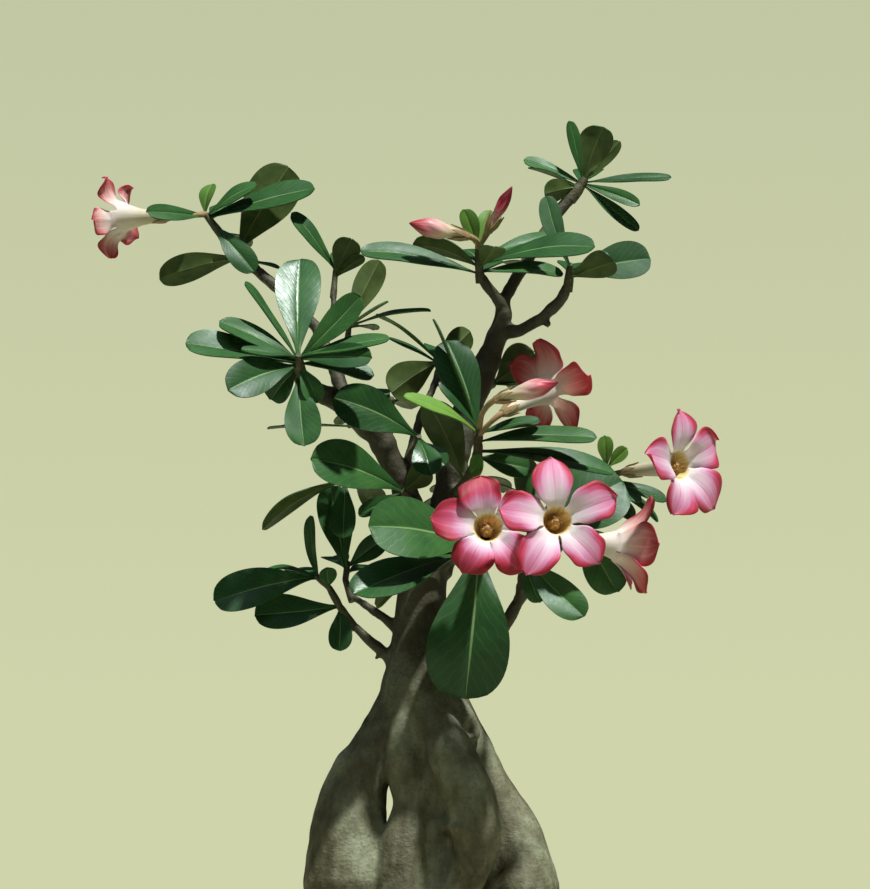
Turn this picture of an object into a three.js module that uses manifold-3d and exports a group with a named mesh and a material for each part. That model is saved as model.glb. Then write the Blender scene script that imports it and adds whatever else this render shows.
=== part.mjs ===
// A potted desert rose, Adenium obesum, trained as a small flowering tree on raised roots.
// Millimetres, +Z up. The origin is on the pot's axis, on the surface that it stands on.
// The viewer's side is -Y, where most of the open blooms look.
import * as THREE from "three";
import { mergeVertices } from "three/addons/utils/BufferGeometryUtils.js";
import Module from "manifold-3d";

const wasm = await Module();
wasm.setup();

// Driving dimensions
const potHeight = 112;
const rimRadius = 112;
const rimBand = 20;
const rimStep = 5;
const rimRound = 1.5;
const shoulderRadius = rimRadius - rimStep;
const footRadius = 80;
const wall = 7;
const potFloor = 9;
const drainRadius = 6;
const drainCircle = 42;
const drainHoles = 4;
const soilHeight = 98;
const soilCrown = 5;
const innerTop = rimRadius - wall - 2;
const innerFoot = footRadius - wall;
const fitGap = 0.35;
const potSides = 32;

const leafThickness = 1.1;
const leafEdge = 0.7;
const leafFold = 13;
const petalThickness = 1.0;
const petalEdge = 0.7;
const petalFold = 6;
const petalArch = 38;
const petalCount = 5;
const throatRadius = 7.2;
const tubeBaseRadius = 2.3;
const calyxDepth = 3.2;
const calyxRadius = 3.9;
const sepalLength = 5;
const sepalSpread = 1.4;
const pedicelRadius = 1.3;

// Outlines, as shares of the length and of the full half-width there
const broadLeaf = [[0, 0.11], [0.28, 0.48], [0.62, 1], [0.87, 0.84], [1, 0.3]];
const leafOutline = [[0, 0.12], [0.38, 0.64], [0.74, 1], [1, 0.3]];
const slimLeaf = [[0, 0.2], [0.62, 1], [1, 0.3]];
const petalOutline = [[0, 0.34], [0.46, 0.94], [0.8, 0.92], [1, 0.16]];
const broadWidth = 22;
const slimWidth = 12;

// Which way the upper side of a leaf looks
const faces = {
  front: [0, -0.92, 0.38],
  slant: [0, -0.6, 0.8],
  sunlit: [0.15, -0.8, 0.59],
  up: [0, -0.12, 1],
  under: [0, 0.6, 0.8],
  back: [0.1, 0.95, 0.3],
  left: [-0.85, -0.3, 0.4],
  right: [0.85, -0.3, 0.4],
  frontRight: [0.5, -0.76, 0.42],
  frontLeft: [-0.6, -0.8, 0.1],
  edgeLeft: [-0.9, 0.05, 0.43],
  edgeRight: [0.9, 0.05, 0.43],
};

// One leaf: its tip as seen from the tip of its shoot, its width, the way it looks, how far it
// arches in degrees, and how far below the shoot's tip it grows.
const leaf = (dx, dy, dz, wide, face, arch = 20, low = 2) => ({ dx, dy, dz, wide, face, arch, low });

// One leafy shoot: stem stations of [x, y, z, radius] from the old wood to the tip, then its leaves.
const shoot = (name, stem, leaves) => ({ name, stem, leaves });

// One bloom: centre of its mouth, the way it looks, the turn of its first petal, its petals' reach,
// their breadth as a share of it and how far they lean forward in degrees, the length of its tube,
// the shoot that bears it, and how far below that shoot's tip.
const bloom = (name, mouth, axis, turn, reach, breadth, lean, tube, bearer, low = 0) =>
  ({ name, mouth, axis, turn, reach, breadth, lean, tube, bearer, low });

// One closed bud: its foot, its point, its widest radius, the shoot that bears it.
const bud = (name, foot, point, radius, bearer, low = 0) => ({ name, foot, point, radius, bearer, low });

// Old wood: the raised roots, the trunk and the branches, each a run of [x, y, z, radius]
const roots = [
  [[-9, 0, 262, 9], [-26, -2, 220, 13], [-38, -4, 200, 15.2], [-42.5, -6, 176, 19.7],
    [-43.5, -8, 150, 22.5], [-43, -8, 126, 19], [-41, -8, 108, 13], [-39, -8, 84, 9]],
  [[-9, -3, 262, 9], [-15, -14, 210, 11], [-11.5, -17, 189, 9.5], [-15, -20, 165, 13.5],
    [-17, -23, 142, 13], [-17, -26, 120, 10.5], [-17, -27, 84, 7]],
  [[-5, -4, 262, 9], [-3, -14, 210, 9], [-1, -16, 180, 9], [0, -19, 155, 9.5], [2, -25, 125, 9.5],
    [2, -30, 84, 6.5]],
  [[-5, -4, 262, 8], [0, -16, 235, 8.5], [7, -21, 216, 12], [15.5, -26, 196, 13.5],
    [20, -29, 177, 13.5], [18, -28, 160, 11], [13, -25, 145, 10], [12, -26, 125, 9], [12, -28, 84, 7]],
  [[0, 2, 260, 8], [19, 4, 212, 11], [29, 3, 190, 13], [38, 2, 168, 17], [42, 0, 146, 21],
    [43, -1, 125, 19], [41, -2, 106, 14], [40, -2, 84, 9]],
  [[-6, 3, 262, 9], [-6, 21, 205, 12], [-9, 29, 180, 12.5], [-18, 33, 150, 15], [-22, 33, 122, 13],
    [-23, 33, 84, 8]],
  [[0, 3, 262, 9], [12, 21, 205, 12], [20, 28, 175, 14], [23, 30, 145, 14], [20, 33, 118, 11],
    [19, 34, 84, 7]],
  [[9, -5, 243, 3], [15.5, -8, 232, 4.8], [18.5, -7, 221, 4]],
];
const standingRoots = 7;
const trunk = [[-4, 1, 205, 22], [-5.5, 0, 226, 23], [-7.5, 0, 242, 20.5], [-7, 0, 258, 17.5],
  [-7, 0, 278, 13.5], [-6, 0, 298, 12], [-3, 1, 314, 11.5]];
const branches = [
  [[-5, 0, 304, 10.5], [-10, 2, 326, 7.7], [-16, 3, 348, 6.8], [-27, 0, 370, 6.3], [-40, -8, 384, 5.6],
    [-52, -17, 391.5, 5.1], [-62, -25, 395.5, 4.5], [-65.5, -28, 398.5, 4]],
  [[-2, 1, 304, 11], [5, 5, 328, 9.5], [9, 9, 358, 7.7], [15, 12, 382, 7.2], [24, 12, 402, 6.7],
    [30, 10, 419, 5.6], [34, 8, 432, 4.6], [34.5, 8, 443, 3.4]],
  [[34, 7, 437, 3.3], [28, 3, 445, 3], [22.5, 0, 452, 2.7]],
  [[34.5, 8, 440, 3.4], [43, 16, 455, 2.9], [55, 26, 474, 2.8], [63.5, 32, 487, 3.3], [70, 34, 494, 3.3]],
  [[32, 9, 424, 4.1], [42, 4, 424.5, 3.4], [53.5, -2, 431, 3], [63, -6, 440, 3], [66.5, -8, 447.5, 2.5]],
  [[54, -2, 431, 1.6], [57, -4, 427, 2]],
  [[-44, -8, 389, 4.1], [-51, 4, 408, 3.4], [-59, 15, 426, 3.1], [-76.5, 24, 444, 3],
    [-92.5, 30, 458, 2.6]],
  [[-56, 10, 418, 2.5], [-51, 19, 430, 2.1], [-51, 26, 445, 1.8]],
  [[-52, 3, 406, 2.1], [-46, 6, 416, 1.8], [-43.5, 6, 423, 1.6]],
  [[-14, 3, 340, 3.7], [-13, 14, 360, 3.1], [-7, 26, 382, 2.5], [1, 35, 401, 2]],
  [[8, 8, 338, 4.1], [13, -6, 346, 3]],
  [[-2, -2, 303, 4.1], [7, -9, 310.5, 2.6]],
  [[4, 4, 244, 6.3], [21, 8, 258, 4], [32, 8, 272, 3.5], [40, 6, 286, 3.2], [47, 3, 297, 2.9],
    [55, 0, 308, 2.5]],
  [[41, 6, 287, 2.8], [43.5, -1, 299, 2.4]],
  [[-13, 0, 250, 4.9], [-26, 2, 264, 3], [-34.5, 4, 271, 2.5], [-41.5, 5, 278, 2.1]],
  [[-27, 1, 264, 1.6], [-30, 0, 260, 1.2]],
  [[-9, 1, 266, 4.1], [-23, 6, 279, 2.5], [-33, 10, 286, 2.1], [-42.5, 14, 292, 1.9]],
  [[-12, 3, 344, 3.3], [-24, 10, 350, 2.1]],
  [[-12, 2, 337, 3.7], [-14, -8, 342, 2.4]],
  [[-37, -5, 383, 2.5], [-41, 3, 379.5, 1.8]],
  [[22, 12, 398, 3.3], [27, 24, 397, 2.3]],
  [[-25, 2, 366, 3.3], [-23, 16, 378, 2.3]],
  [[7, 8, 348, 3.3], [15, 24, 350, 2.3]],
  [[-13.5, 10, 356, 2.5], [-12, 0, 362, 2.1]],
  [[4, -25, 179, 2.8], [10.5, -40.5, 178.6, 1.4]],
];

const shoots = [
  shoot("shoot_upper_left", [[-92.5, 30, 458, 2.7], [-100, 32, 465, 2.6], [-106.5, 33, 471.5, 2.3],
    [-112, 33, 479, 2], [-116, 33, 484, 1.5]], [
    leaf(-28, -24, 1, 9.5, "front", 10, 1),
    leaf(3, 4, 15.5, 10, "frontLeft", 40, 0),
    leaf(26, -8, 15, 12, "slant", 30, 1),
    leaf(55, -10, 13.5, 21, "slant", 12, 2),
    leaf(42, 4, 24, 26, "back", 15, 25),
    leaf(-23, -2, -32.5, 15, "back", 16, 29),
    leaf(25, -14, -29, 13, "front", 20, 7),
    leaf(38, 2, -27, 8, "up", 8, 31),
    leaf(14, 36, 6, 15, "up", 25, 4),
    leaf(18, 34, -16, 14, "up", 28, 12),
  ]),
  shoot("shoot_left_star", [[-65.5, -28, 398.5, 3.8], [-67, -31, 403.5, 3.3],
    [-67.5, -35, 408.5, 2.6], [-67.5, -37.5, 412, 1.5]], [
    leaf(0, 34, 48, 23, "sunlit", 14, 1),
    leaf(-27, 8, 36, 10, "right", 10, 3),
    leaf(-39, 4, 17, 16, "slant", 26, 3),
    leaf(-56, 0, 5, 20, "slant", 20, 4),
    leaf(-28, -12, 2.5, 8, "slant", 15, 1),
    leaf(-34, -22, -17, 20, "front", 14, 6),
    leaf(-14, 8, -22, 14, "front", 20, 7),
    leaf(3, -10, -45, 18, "front", 12, 11),
    leaf(10, 0, -23, 11, "front", 20, 6),
    leaf(45, -8, 8.5, 13, "slant", 16, 1),
    leaf(36, -14, -1, 13, "front", 14, 2),
    leaf(31, -2, 29, 14, "front", 14, 2),
    leaf(44, 8, 27, 10, "edgeLeft", 8, 4),
    leaf(37, 2, -10, 13, "slant", 20, 5),
    leaf(-16, 30, -4, 15, "up", 25, 6),
  ]),
  shoot("shoot_left_twig", [[-51, 26, 445, 1.8], [-50.5, 28, 451, 1.6], [-50, 28, 457, 1.3]], [
    leaf(-21, -6, 28, 11, "frontRight", 24, 1),
    leaf(8, -7, 14, 14, "back", 10, 4),
    leaf(14, -3, 6, 8, "under", 15, 5),
    leaf(4, 28, 8, 13, "up", 25, 4),
  ]),
  shoot("shoot_left_spur", [[-43.5, 6, 423, 1.6], [-43, 6, 428, 1.3]], [
    leaf(15, 10, 32, 14, "back", 12, 1),
    leaf(41, -6, 6, 10, "up", 28, 1),
    leaf(12, 28, -2, 13, "up", 25, 2),
  ]),
  shoot("shoot_top_centre", [[22.5, 0, 452, 2.5], [22, -1, 458, 2.2], [21.5, -2, 466, 1.5]], [
    leaf(-58, -6, 0.5, 15, "slant", 12, 13),
    leaf(-32, 6, 2.5, 14, "under", 50, 10),
    leaf(57, -22, 2, 18, "slant", 18, 8),
    leaf(43, 12, -11, 11, "slant", 14, 12),
    leaf(38, 16, 7, 11, "slant", 20, 5),
    leaf(-7, -4, 19, 9, "front", 10, 1),
    leaf(6, 6, 19, 9, "front", 10, 1),
    leaf(8, -22, 0, 13, "under", 30, 10),
    leaf(-8, 42, 0, 16, "up", 25, 9),
    leaf(18, 36, -6, 15, "up", 25, 12),
  ]),
  shoot("shoot_top_right", [[70, 34, 494, 3.4], [73.5, 35, 498.5, 2.9], [76, 35, 502, 2.1]], [
    leaf(-8, -3, 29, 8, "frontRight", 14, 2),
    leaf(9, -4, 26, 17, "back", 10, 1),
    leaf(17, 8, 19, 8, "back", 15, 1),
    leaf(43, -4, 1.5, 8, "slant", 6, 2),
    leaf(27, -10, -13, 7, "front", 24, 3),
    leaf(27, 4, -26, 7.5, "front", 10, 3),
    leaf(-31, 2, 10, 8.5, "slant", 22, 3),
    leaf(-29, -11, 5, 9, "up", 15, 5),
    leaf(-21, -14, -8, 12, "back", 20, 5),
    leaf(4, 38, 5, 15, "up", 25, 4),
    leaf(-16, 28, -4, 13, "up", 25, 6),
  ]),
  shoot("shoot_right_fork", [[66.5, -8, 447.5, 2.5], [67, -9, 452, 2.1], [67.5, -10, 457, 1.5]], [
    leaf(-12, 10, 35, 11, "front", 14, 1),
    leaf(40, 4, 4, 20, "front", 22, 3),
    leaf(22, -14, 2, 15, "back", 15, 6),
    leaf(4, 34, 2, 15, "up", 25, 4),
  ]),
  shoot("shoot_centre", [[13, -6, 346, 3], [17, -12, 351, 2.8], [21, -17, 360, 2.6], [21.5, -20, 369, 2.3],
    [22, -22, 376, 1.6]], [
    leaf(-16, 12, 44, 21, "front", 14, 2),
    leaf(-18, 4, 25, 13, "sunlit", 12, 1),
    leaf(-38, -18, 15, 11, "slant", 40, 3),
    leaf(-25, 12, 13, 19, "back", 10, 31),
    leaf(1, -8, -16, 11, "front", 20, 29),
    leaf(30, -4, 4, 9, "slant", 24, 3),
    leaf(58, -8, -6, 16, "slant", 32, 7),
    leaf(67, 4, -22, 16, "slant", 32, 12),
    leaf(25, 10, -20, 14, "front", 20, 15),
    leaf(-23, 6, 54, 10, "edgeRight", 8, 3),
  ]),
  shoot("shoot_rear_centre", [[1, 35, 401, 2], [2, 37, 406, 1.7], [2.5, 38, 412, 1.3]], [
    leaf(-25, -4, -18, 19, "back", 30, 2),
    leaf(-31, 0, 23, 10, "edgeRight", 10, 2),
    leaf(-27, 10, 10, 9, "up", 12, 3),
    leaf(15, 10, 13, 14, "back", 15, 2),
    leaf(-2, 36, 6, 15, "up", 25, 3),
    leaf(22, 30, -6, 14, "up", 25, 4),
  ]),
  shoot("shoot_rear_right", [[27, 24, 397, 2.2], [29, 31, 398, 1.9], [30, 36, 400, 1.4]], [
    leaf(20, -4, 14, 22, "back", 15, 3),
    leaf(16, 30, -6, 15, "up", 30, 2),
    leaf(34, 14, -10, 15, "up", 28, 4),
  ]),
  shoot("shoot_front_right", [[43.5, -1, 299, 2.4], [44.5, -5, 311, 2.3], [48, -8, 322, 2.1],
    [48, -11, 329, 1.5]], [
    leaf(46, 12, 21, 38, "front", 18, 3),
    leaf(2, 10, 26, 12, "left", 15, 3),
    leaf(26, -8, -47, 18, "front", 16, 19),
    leaf(4, 4, -40, 11, "front", 16, 20),
    leaf(-3, 22, 32, 14, "back", 12, 4),
    leaf(10, 38, -2, 15, "up", 25, 12),
  ]),
  shoot("shoot_right_low", [[55, 0, 308, 2.5], [67, -3, 322, 2.4], [76, 0, 335, 2.2],
    [83, 6, 347, 2], [86, 8, 356, 1.4]], [
    leaf(-1, -4, 16, 8, "front", 12, 0),
    leaf(10, -4, 10, 7, "front", 12, 0),
    leaf(30, 0, -16, 9, "slant", 16, 6),
    leaf(17, -8, -16, 8, "slant", 16, 9),
    leaf(26, 6, -27, 9, "right", 40, 9),
    leaf(14, 2, -25, 8, "front", 20, 12),
    leaf(5, -8, -62, 20, "front", 14, 32),
    leaf(14, 34, -4, 14, "up", 25, 8),
    leaf(-14, 32, -12, 14, "up", 25, 16),
    leaf(2, 30, -46, 15, "up", 28, 34),
  ]),
  shoot("shoot_low_front", [[7, -9, 310.5, 2.6], [16, -15, 315, 2.2], [22, -16, 318, 1.6]], [
    leaf(-53, -38, 10.5, 33, "front", 18, 1),
    leaf(-62, -38, -24, 26, "slant", 25, 12),
    leaf(-53, -16, -28, 16, "under", 25, 14),
    leaf(-7, -12, -76, 41, "front", 42, 0),
  ]),
  shoot("shoot_left_mid", [[-14, -8, 342, 2.3], [-16, -13, 345, 1.6]], [
    leaf(-45, -26, 16, 25, "front", 16, 1),
    leaf(13, 2, 11, 13, "back", 15, 1),
    leaf(-22, 2, -12, 8, "front", 16, 2),
  ]),
  shoot("shoot_centre_spur", [[-12, 0, 362, 2.1], [-9, -7, 368, 1.8], [-8, -11, 372, 1.4]], [
    leaf(-42, -14, 19, 23, "front", 25, 1),
    leaf(6, -14, -19, 15, "front", 20, 1),
    leaf(13, -9, -14, 11, "front", 20, 3),
  ]),
  shoot("shoot_left_under", [[-41, 3, 379.5, 1.8], [-43, 9, 377, 1.3]], [
    leaf(-41, 2, -1, 11, "up", 10, 1),
    leaf(19, 16, -8, 12, "under", 20, 1),
    leaf(14, 30, -6, 14, "up", 28, 1),
  ]),
  shoot("shoot_lowest_left", [[-41.5, 5, 278, 2.1], [-48, 6, 287, 1.9], [-53, 6, 296, 1.7],
    [-60, 5, 302, 1.3]], [
    leaf(-50, -8, -13, 21, "front", 30, 1),
    leaf(-30, -6, -19, 18, "front", 10, 20),
    leaf(12, -6, -37, 12, "front", 10, 20),
    leaf(-25, 8, 4, 9, "up", 28, 2),
    leaf(-2, 4, 30, 17, "left", 24, 2),
    leaf(6, -10, 4, 9, "front", 15, 9),
    leaf(-12, 30, 2, 14, "up", 28, 5),
  ]),
  shoot("shoot_low_left", [[-42.5, 14, 292, 1.9], [-45, 17, 300, 1.7], [-44, 20, 309, 1.3]], [
    leaf(19, -6, 12, 12, "front", 15, 3),
    leaf(-9, 0, 38, 18, "front", 15, 6),
    leaf(-8, 32, 2, 14, "up", 28, 4),
    leaf(18, 26, -4, 14, "up", 28, 6),
  ]),
  shoot("shoot_mid_left", [[-24, 10, 350, 2.1], [-36, 14, 351, 1.9], [-46, 14, 350, 1.4]], [
    leaf(0, -9, -29, 13, "front", 12, 1),
    leaf(-41, -4, -24, 13, "under", 28, 1),
    leaf(-4, 32, 4, 15, "up", 28, 2),
    leaf(16, 30, -14, 14, "up", 28, 8),
  ]),
  shoot("shoot_rear_left", [[-23, 16, 378, 2.2], [-22, 26, 385, 1.9], [-22, 34, 391, 1.4]], [
    leaf(-16, 30, 4, 15, "up", 28, 2),
    leaf(10, 34, -4, 15, "up", 28, 3),
    leaf(-28, 12, -12, 15, "up", 28, 5),
  ]),
  shoot("shoot_rear_low", [[15, 24, 350, 2.2], [18, 32, 350, 1.9], [19, 38, 351, 1.4]], [
    leaf(-18, 30, -8, 15, "up", 28, 3),
    leaf(16, 34, -6, 15, "up", 28, 2),
    leaf(30, 14, -14, 15, "up", 28, 5),
    leaf(-28, 10, -20, 15, "up", 28, 6),
  ]),
];

const blooms = [
  bloom("bloom_far_left", [-157.8, 42, 482.6], [-0.83, 0.55, 0], 26, 23, 0.64, 12, 27,
    "shoot_upper_left"),
  bloom("bloom_front_left", [26, -56, 327], [0.04, -0.98, 0.2], -8, 28.5, 0.74, 0, 31,
    "shoot_low_front"),
  bloom("bloom_front_right", [60, -70, 330.5], [0.2, -0.95, 0.2], -4, 32, 0.64, 0, 35,
    "shoot_front_right"),
  bloom("bloom_turned_away", [56, -3, 395], [0.66, 0.67, 0.34], -7, 29, 0.62, 0, 32,
    "shoot_centre", 4),
  bloom("bloom_far_right", [122, -17, 357.5], [0.75, -0.65, 0.1], -8, 30.5, 0.7, 8, 34,
    "shoot_right_low", 4),
  bloom("bloom_low_right", [90, -16, 317.5], [0.95, 0.2, -0.13], -6, 32, 0.68, 38, 25,
    "shoot_right_low", 42),
];

const buds = [
  bud("bud_top_left", [14.5, -10, 472], [-13, -15, 478], 4.9, "shoot_top_centre"),
  bud("bud_top_right", [27.5, -9, 476], [38.5, -12, 496.5], 3, "shoot_top_centre", 0, 0.35),
  bud("bud_centre", [32, -36, 390.5], [61, -39, 398.5], 4.8, "shoot_centre"),
];

const at = (p) => new THREE.Vector3(p[0], p[1], p[2]);
const rad = THREE.MathUtils.degToRad;

// Solids and meshes
function solidOf(geometry) {
  const bare = geometry.clone();
  bare.deleteAttribute("normal");
  bare.deleteAttribute("uv");
  const merged = mergeVertices(bare, 1e-4);
  return new wasm.Manifold(new wasm.Mesh({
    numProp: 3,
    vertProperties: merged.attributes.position.array,
    triVerts: new Uint32Array(merged.index.array),
  }));
}

function solidFrom(coordinates, triangles) {
  const geometry = new THREE.BufferGeometry();
  geometry.setAttribute("position", new THREE.Float32BufferAttribute(coordinates, 3));
  geometry.setIndex(triangles);
  return solidOf(geometry);
}

function meshOf(name, solid, material) {
  const made = solid.getMesh();
  const geometry = new THREE.BufferGeometry();
  geometry.setAttribute("position", new THREE.BufferAttribute(Float32Array.from(made.vertProperties), 3));
  geometry.setIndex(new THREE.BufferAttribute(Uint32Array.from(made.triVerts), 1));
  geometry.computeVertexNormals();
  const mesh = new THREE.Mesh(geometry, material);
  mesh.name = name;
  return mesh;
}

const joined = (solids) => solids.reduce((whole, next) => whole.add(next));

// A closed profile of [radius, height] turned about Z
function turned(profile, sides) {
  const outline = profile.map(([radius, height]) => new THREE.Vector2(radius, height));
  return solidOf(new THREE.LatheGeometry(outline, sides).rotateX(Math.PI / 2));
}

// A tapering round stem through stations of [x, y, z, radius], swollen by extra all over
function stem(stations, sides, steps, extra = 0) {
  const path = new THREE.CatmullRomCurve3(stations.map(at));
  const frames = path.computeFrenetFrames(steps);
  const tube = new THREE.CylinderGeometry(1, 1, 1, sides, steps);
  const place = tube.attributes.position;
  for (let i = 0; i < place.count; i++) {
    const end = place.getY(i) * 2;
    const step = Math.round((place.getY(i) + 0.5) * steps);
    const share = path.getUtoTmapping(step / steps) * (stations.length - 1);
    const before = Math.min(Math.floor(share), stations.length - 2);
    const from = stations[before][3];
    const radius = THREE.MathUtils.lerp(from, stations[before + 1][3], share - before) + extra;
    const centre = path.getPointAt(step / steps);
    if (Math.abs(end) === 1) centre.addScaledVector(frames.tangents[step], end * extra);
    centre.addScaledVector(frames.binormals[step], place.getX(i) * radius);
    centre.addScaledVector(frames.normals[step], place.getZ(i) * radius);
    place.setXYZ(i, centre.x, centre.y, centre.z);
  }
  return solidOf(tube);
}

// A thin blade on an arc from root to tip, its upper side towards face, flat across or with a folded rib
function blade(root, tip, face, { outline, wide, arch, fold, thick, edge }) {
  const along = tip.clone().sub(root);
  const chord = along.length();
  along.normalize();
  const normal = face.clone().addScaledVector(along, -face.dot(along)).normalize();
  const side = new THREE.Vector3().crossVectors(normal, along);
  const bend = Math.max(rad(arch), 1e-3);
  const radius = chord / (2 * Math.sin(bend / 2));
  const lanes = fold ? [1, 0, -1] : [1, -1];
  const ring = 2 * lanes.length;
  const points = [];
  for (const [share, breadth] of outline) {
    const angle = bend * (share - 0.5);
    const up = normal.clone().multiplyScalar(Math.cos(angle)).addScaledVector(along, Math.sin(angle));
    const rib = root.clone()
      .addScaledVector(along, radius * (Math.sin(angle) + Math.sin(bend / 2)))
      .addScaledVector(normal, radius * (Math.cos(angle) - Math.cos(bend / 2)));
    const half = (wide / 2) * breadth;
    for (const across of lanes) {
      const top = rib.clone()
        .addScaledVector(side, across * half * Math.cos(rad(fold)))
        .addScaledVector(up, Math.abs(across) * half * Math.sin(rad(fold)));
      points.push(top, top.clone().addScaledVector(up, across && fold ? -edge : -thick));
    }
  }
  const triangles = [];
  const panel = (a, b, facesUp) => triangles.push(...(facesUp
    ? [a, b, b + ring, a, b + ring, a + ring]
    : [a, b + ring, b, a, a + ring, b + ring]));
  const last = (outline.length - 1) * ring;
  for (let start = 0; start < last; start += ring) {
    for (let lane = 0; lane < ring - 2; lane += 2) {
      panel(start + lane, start + lane + 2, true);
      panel(start + lane + 1, start + lane + 3, false);
    }
    panel(start, start + 1, false);
    panel(start + ring - 2, start + ring - 1, true);
  }
  for (let lane = 0; lane < ring - 2; lane += 2) {
    const [a, b, c, d] = [lane, lane + 1, lane + 2, lane + 3];
    triangles.push(a, b, c, b, d, c);
    triangles.push(...[a, c, b, b, c, d].map((corner) => last + corner));
  }
  return solidFrom(points.flatMap((point) => point.toArray()), triangles);
}

// The point a given way back from the tip of a run of stations
function below(stations, low) {
  let left = low;
  for (let i = stations.length - 1; i > 0; i--) {
    const [from, to] = [at(stations[i]), at(stations[i - 1])];
    const span = from.distanceTo(to);
    if (left <= span) return from.lerp(to, left / span);
    left -= span;
  }
  return at(stations[0]);
}

// A frame that stands +Z along the axis, at the origin given
function standing(origin, axis, turn = 0) {
  const up = axis.clone().normalize();
  const across = new THREE.Vector3(0, 0, 1);
  across.addScaledVector(up, -across.dot(up)).normalize().applyAxisAngle(up, -rad(turn));
  const other = new THREE.Vector3().crossVectors(up, across);
  return new THREE.Matrix4().makeBasis(across, other, up).setPosition(origin);
}

const moved = (solid, matrix) => solid.transform(matrix.toArray());

// A closed skin over rings of equal count, from the first ring's middle round to the last ring's
function ringSkin(rings) {
  const count = rings[0].length;
  const points = rings.flat();
  const triangles = [];
  for (let k = 0; k < rings.length - 1; k++) {
    for (let i = 0; i < count; i++) {
      const next = (i + 1) % count;
      const [a, b, c, d] = [k * count + i, k * count + next, (k + 1) * count + next, (k + 1) * count + i];
      triangles.push(a, b, c, a, c, d);
    }
  }
  const last = (rings.length - 1) * count;
  for (let i = 1; i < count - 1; i++) {
    triangles.push(0, i + 1, i, last, last + i, last + i + 1);
  }
  return solidFrom(points.flat(), triangles);
}

// The stalk and the cup of five pointed sepals under a bloom or bud, which grow with the shoot
function calyx(foot, axis, from) {
  const start = below(from.stem, from.low);
  const behind = foot.clone().addScaledVector(axis, -2.4);
  const under = foot.clone().addScaledVector(axis, -7).lerp(start, 0.35);
  const stalk = stem([[...start.toArray(), pedicelRadius * 1.2], [...under.toArray(), pedicelRadius],
    [...behind.toArray(), pedicelRadius * 1.25]], 5, 3);
  const inner = tubeBaseRadius + fitGap + 0.35;
  const ring = (radius, height, point) => Array.from({ length: 2 * petalCount }, (_, i) => {
    const angle = (i / petalCount) * Math.PI;
    const isPoint = i % 2 === 0;
    const reach = radius + (isPoint ? point * sepalSpread : 0);
    return [reach * Math.cos(angle), reach * Math.sin(angle), height + (isPoint ? point * sepalLength : 0)];
  });
  const cup = ringSkin([
    ring(1.4, -3.4, 0),
    ring(calyxRadius, -0.8, 0),
    ring(calyxRadius + 0.3, calyxDepth, 1),
    ring(inner, -fitGap, 0),
  ]);
  return stalk.add(moved(cup, standing(foot, axis)));
}

const tubeRadius = (share) => tubeBaseRadius + (throatRadius - tubeBaseRadius) * share ** 2;

// The corolla: a funnel with an open throat, and five petals that flare from its rim
function corolla({ mouth, axis, turn, reach, breadth, lean, tube }) {
  const shares = [0, 0.55];
  const outside = shares.map((share) => [tubeRadius(share), share * tube]);
  const inside = [[throatRadius - 1, tube], [tubeRadius(0.6) - 1.2, 0.6 * tube], [0, 0.6 * tube - 1]];
  const funnel = turned([[0, 0], ...outside, [throatRadius, tube], ...inside], 10);
  const petals = [];
  for (let i = 0; i < petalCount; i++) {
    const angle = (i / petalCount) * 2 * Math.PI;
    const out = new THREE.Vector3(Math.cos(angle), Math.sin(angle), 0);
    const run = reach * (1 + 0.05 * Math.sin(3 * i + turn)) - throatRadius;
    const root = out.clone().multiplyScalar(throatRadius - 0.9).setZ(tube - 1.6);
    const tip = out.clone().multiplyScalar(throatRadius + run * Math.cos(rad(lean)))
      .setZ(tube + 1 + 1.5 * Math.cos(2 * i + turn) + run * Math.sin(rad(lean)));
    petals.push(blade(root, tip, new THREE.Vector3(0, 0, 1), {
      outline: petalOutline,
      wide: reach * breadth,
      arch: petalArch,
      fold: petalFold,
      thick: petalThickness,
      edge: petalEdge,
    }));
  }
  const foot = at(mouth).addScaledVector(at(axis).normalize(), -tube);
  return moved(joined([funnel, ...petals]), standing(foot, at(axis), turn));
}

// A closed spindle with a drawn-out point
function budSolid({ foot, point, radius }) {
  const axis = at(point).sub(at(foot));
  const length = axis.length();
  const profile = [
    [0, 0],
    [tubeBaseRadius, 0],
    [tubeBaseRadius * 1.05, 0.14 * length],
    [radius * 0.86, 0.4 * length],
    [radius, 0.62 * length],
    [radius * 0.66, 0.82 * length],
    [0, length],
  ];
  return moved(turned(profile, 8), standing(at(foot), axis));
}

// The pot, with a banded rim and four drain holes round a solid middle
function potSolid() {
  const bandFoot = potHeight - rimBand;
  const profile = [
    [0, 0],
    [footRadius - 2, 0],
    [footRadius, 2],
    [shoulderRadius, bandFoot],
    [rimRadius, bandFoot + 1],
    [rimRadius, potHeight - rimRound],
    [rimRadius - rimRound, potHeight],
    [innerTop + rimRound, potHeight],
    [innerTop, potHeight - rimRound],
    [innerFoot, potFloor],
    [0, potFloor],
  ];
  let body = turned(profile, potSides);
  for (let i = 0; i < drainHoles; i++) {
    const angle = ((i + 0.5) / drainHoles) * 2 * Math.PI;
    const hole = solidOf(new THREE.CylinderGeometry(drainRadius, drainRadius, potFloor * 3, 16)
      .rotateX(Math.PI / 2).translate(drainCircle * Math.cos(angle), drainCircle * Math.sin(angle), 0));
    body = body.subtract(hole);
  }
  return body;
}

const rootTube = (stations, extra = 0) => stem(stations, 8, stations.length, extra);
const branchTube = (stations, extra = 0) => stem(stations, 6, stations.length - 1, extra);

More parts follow.
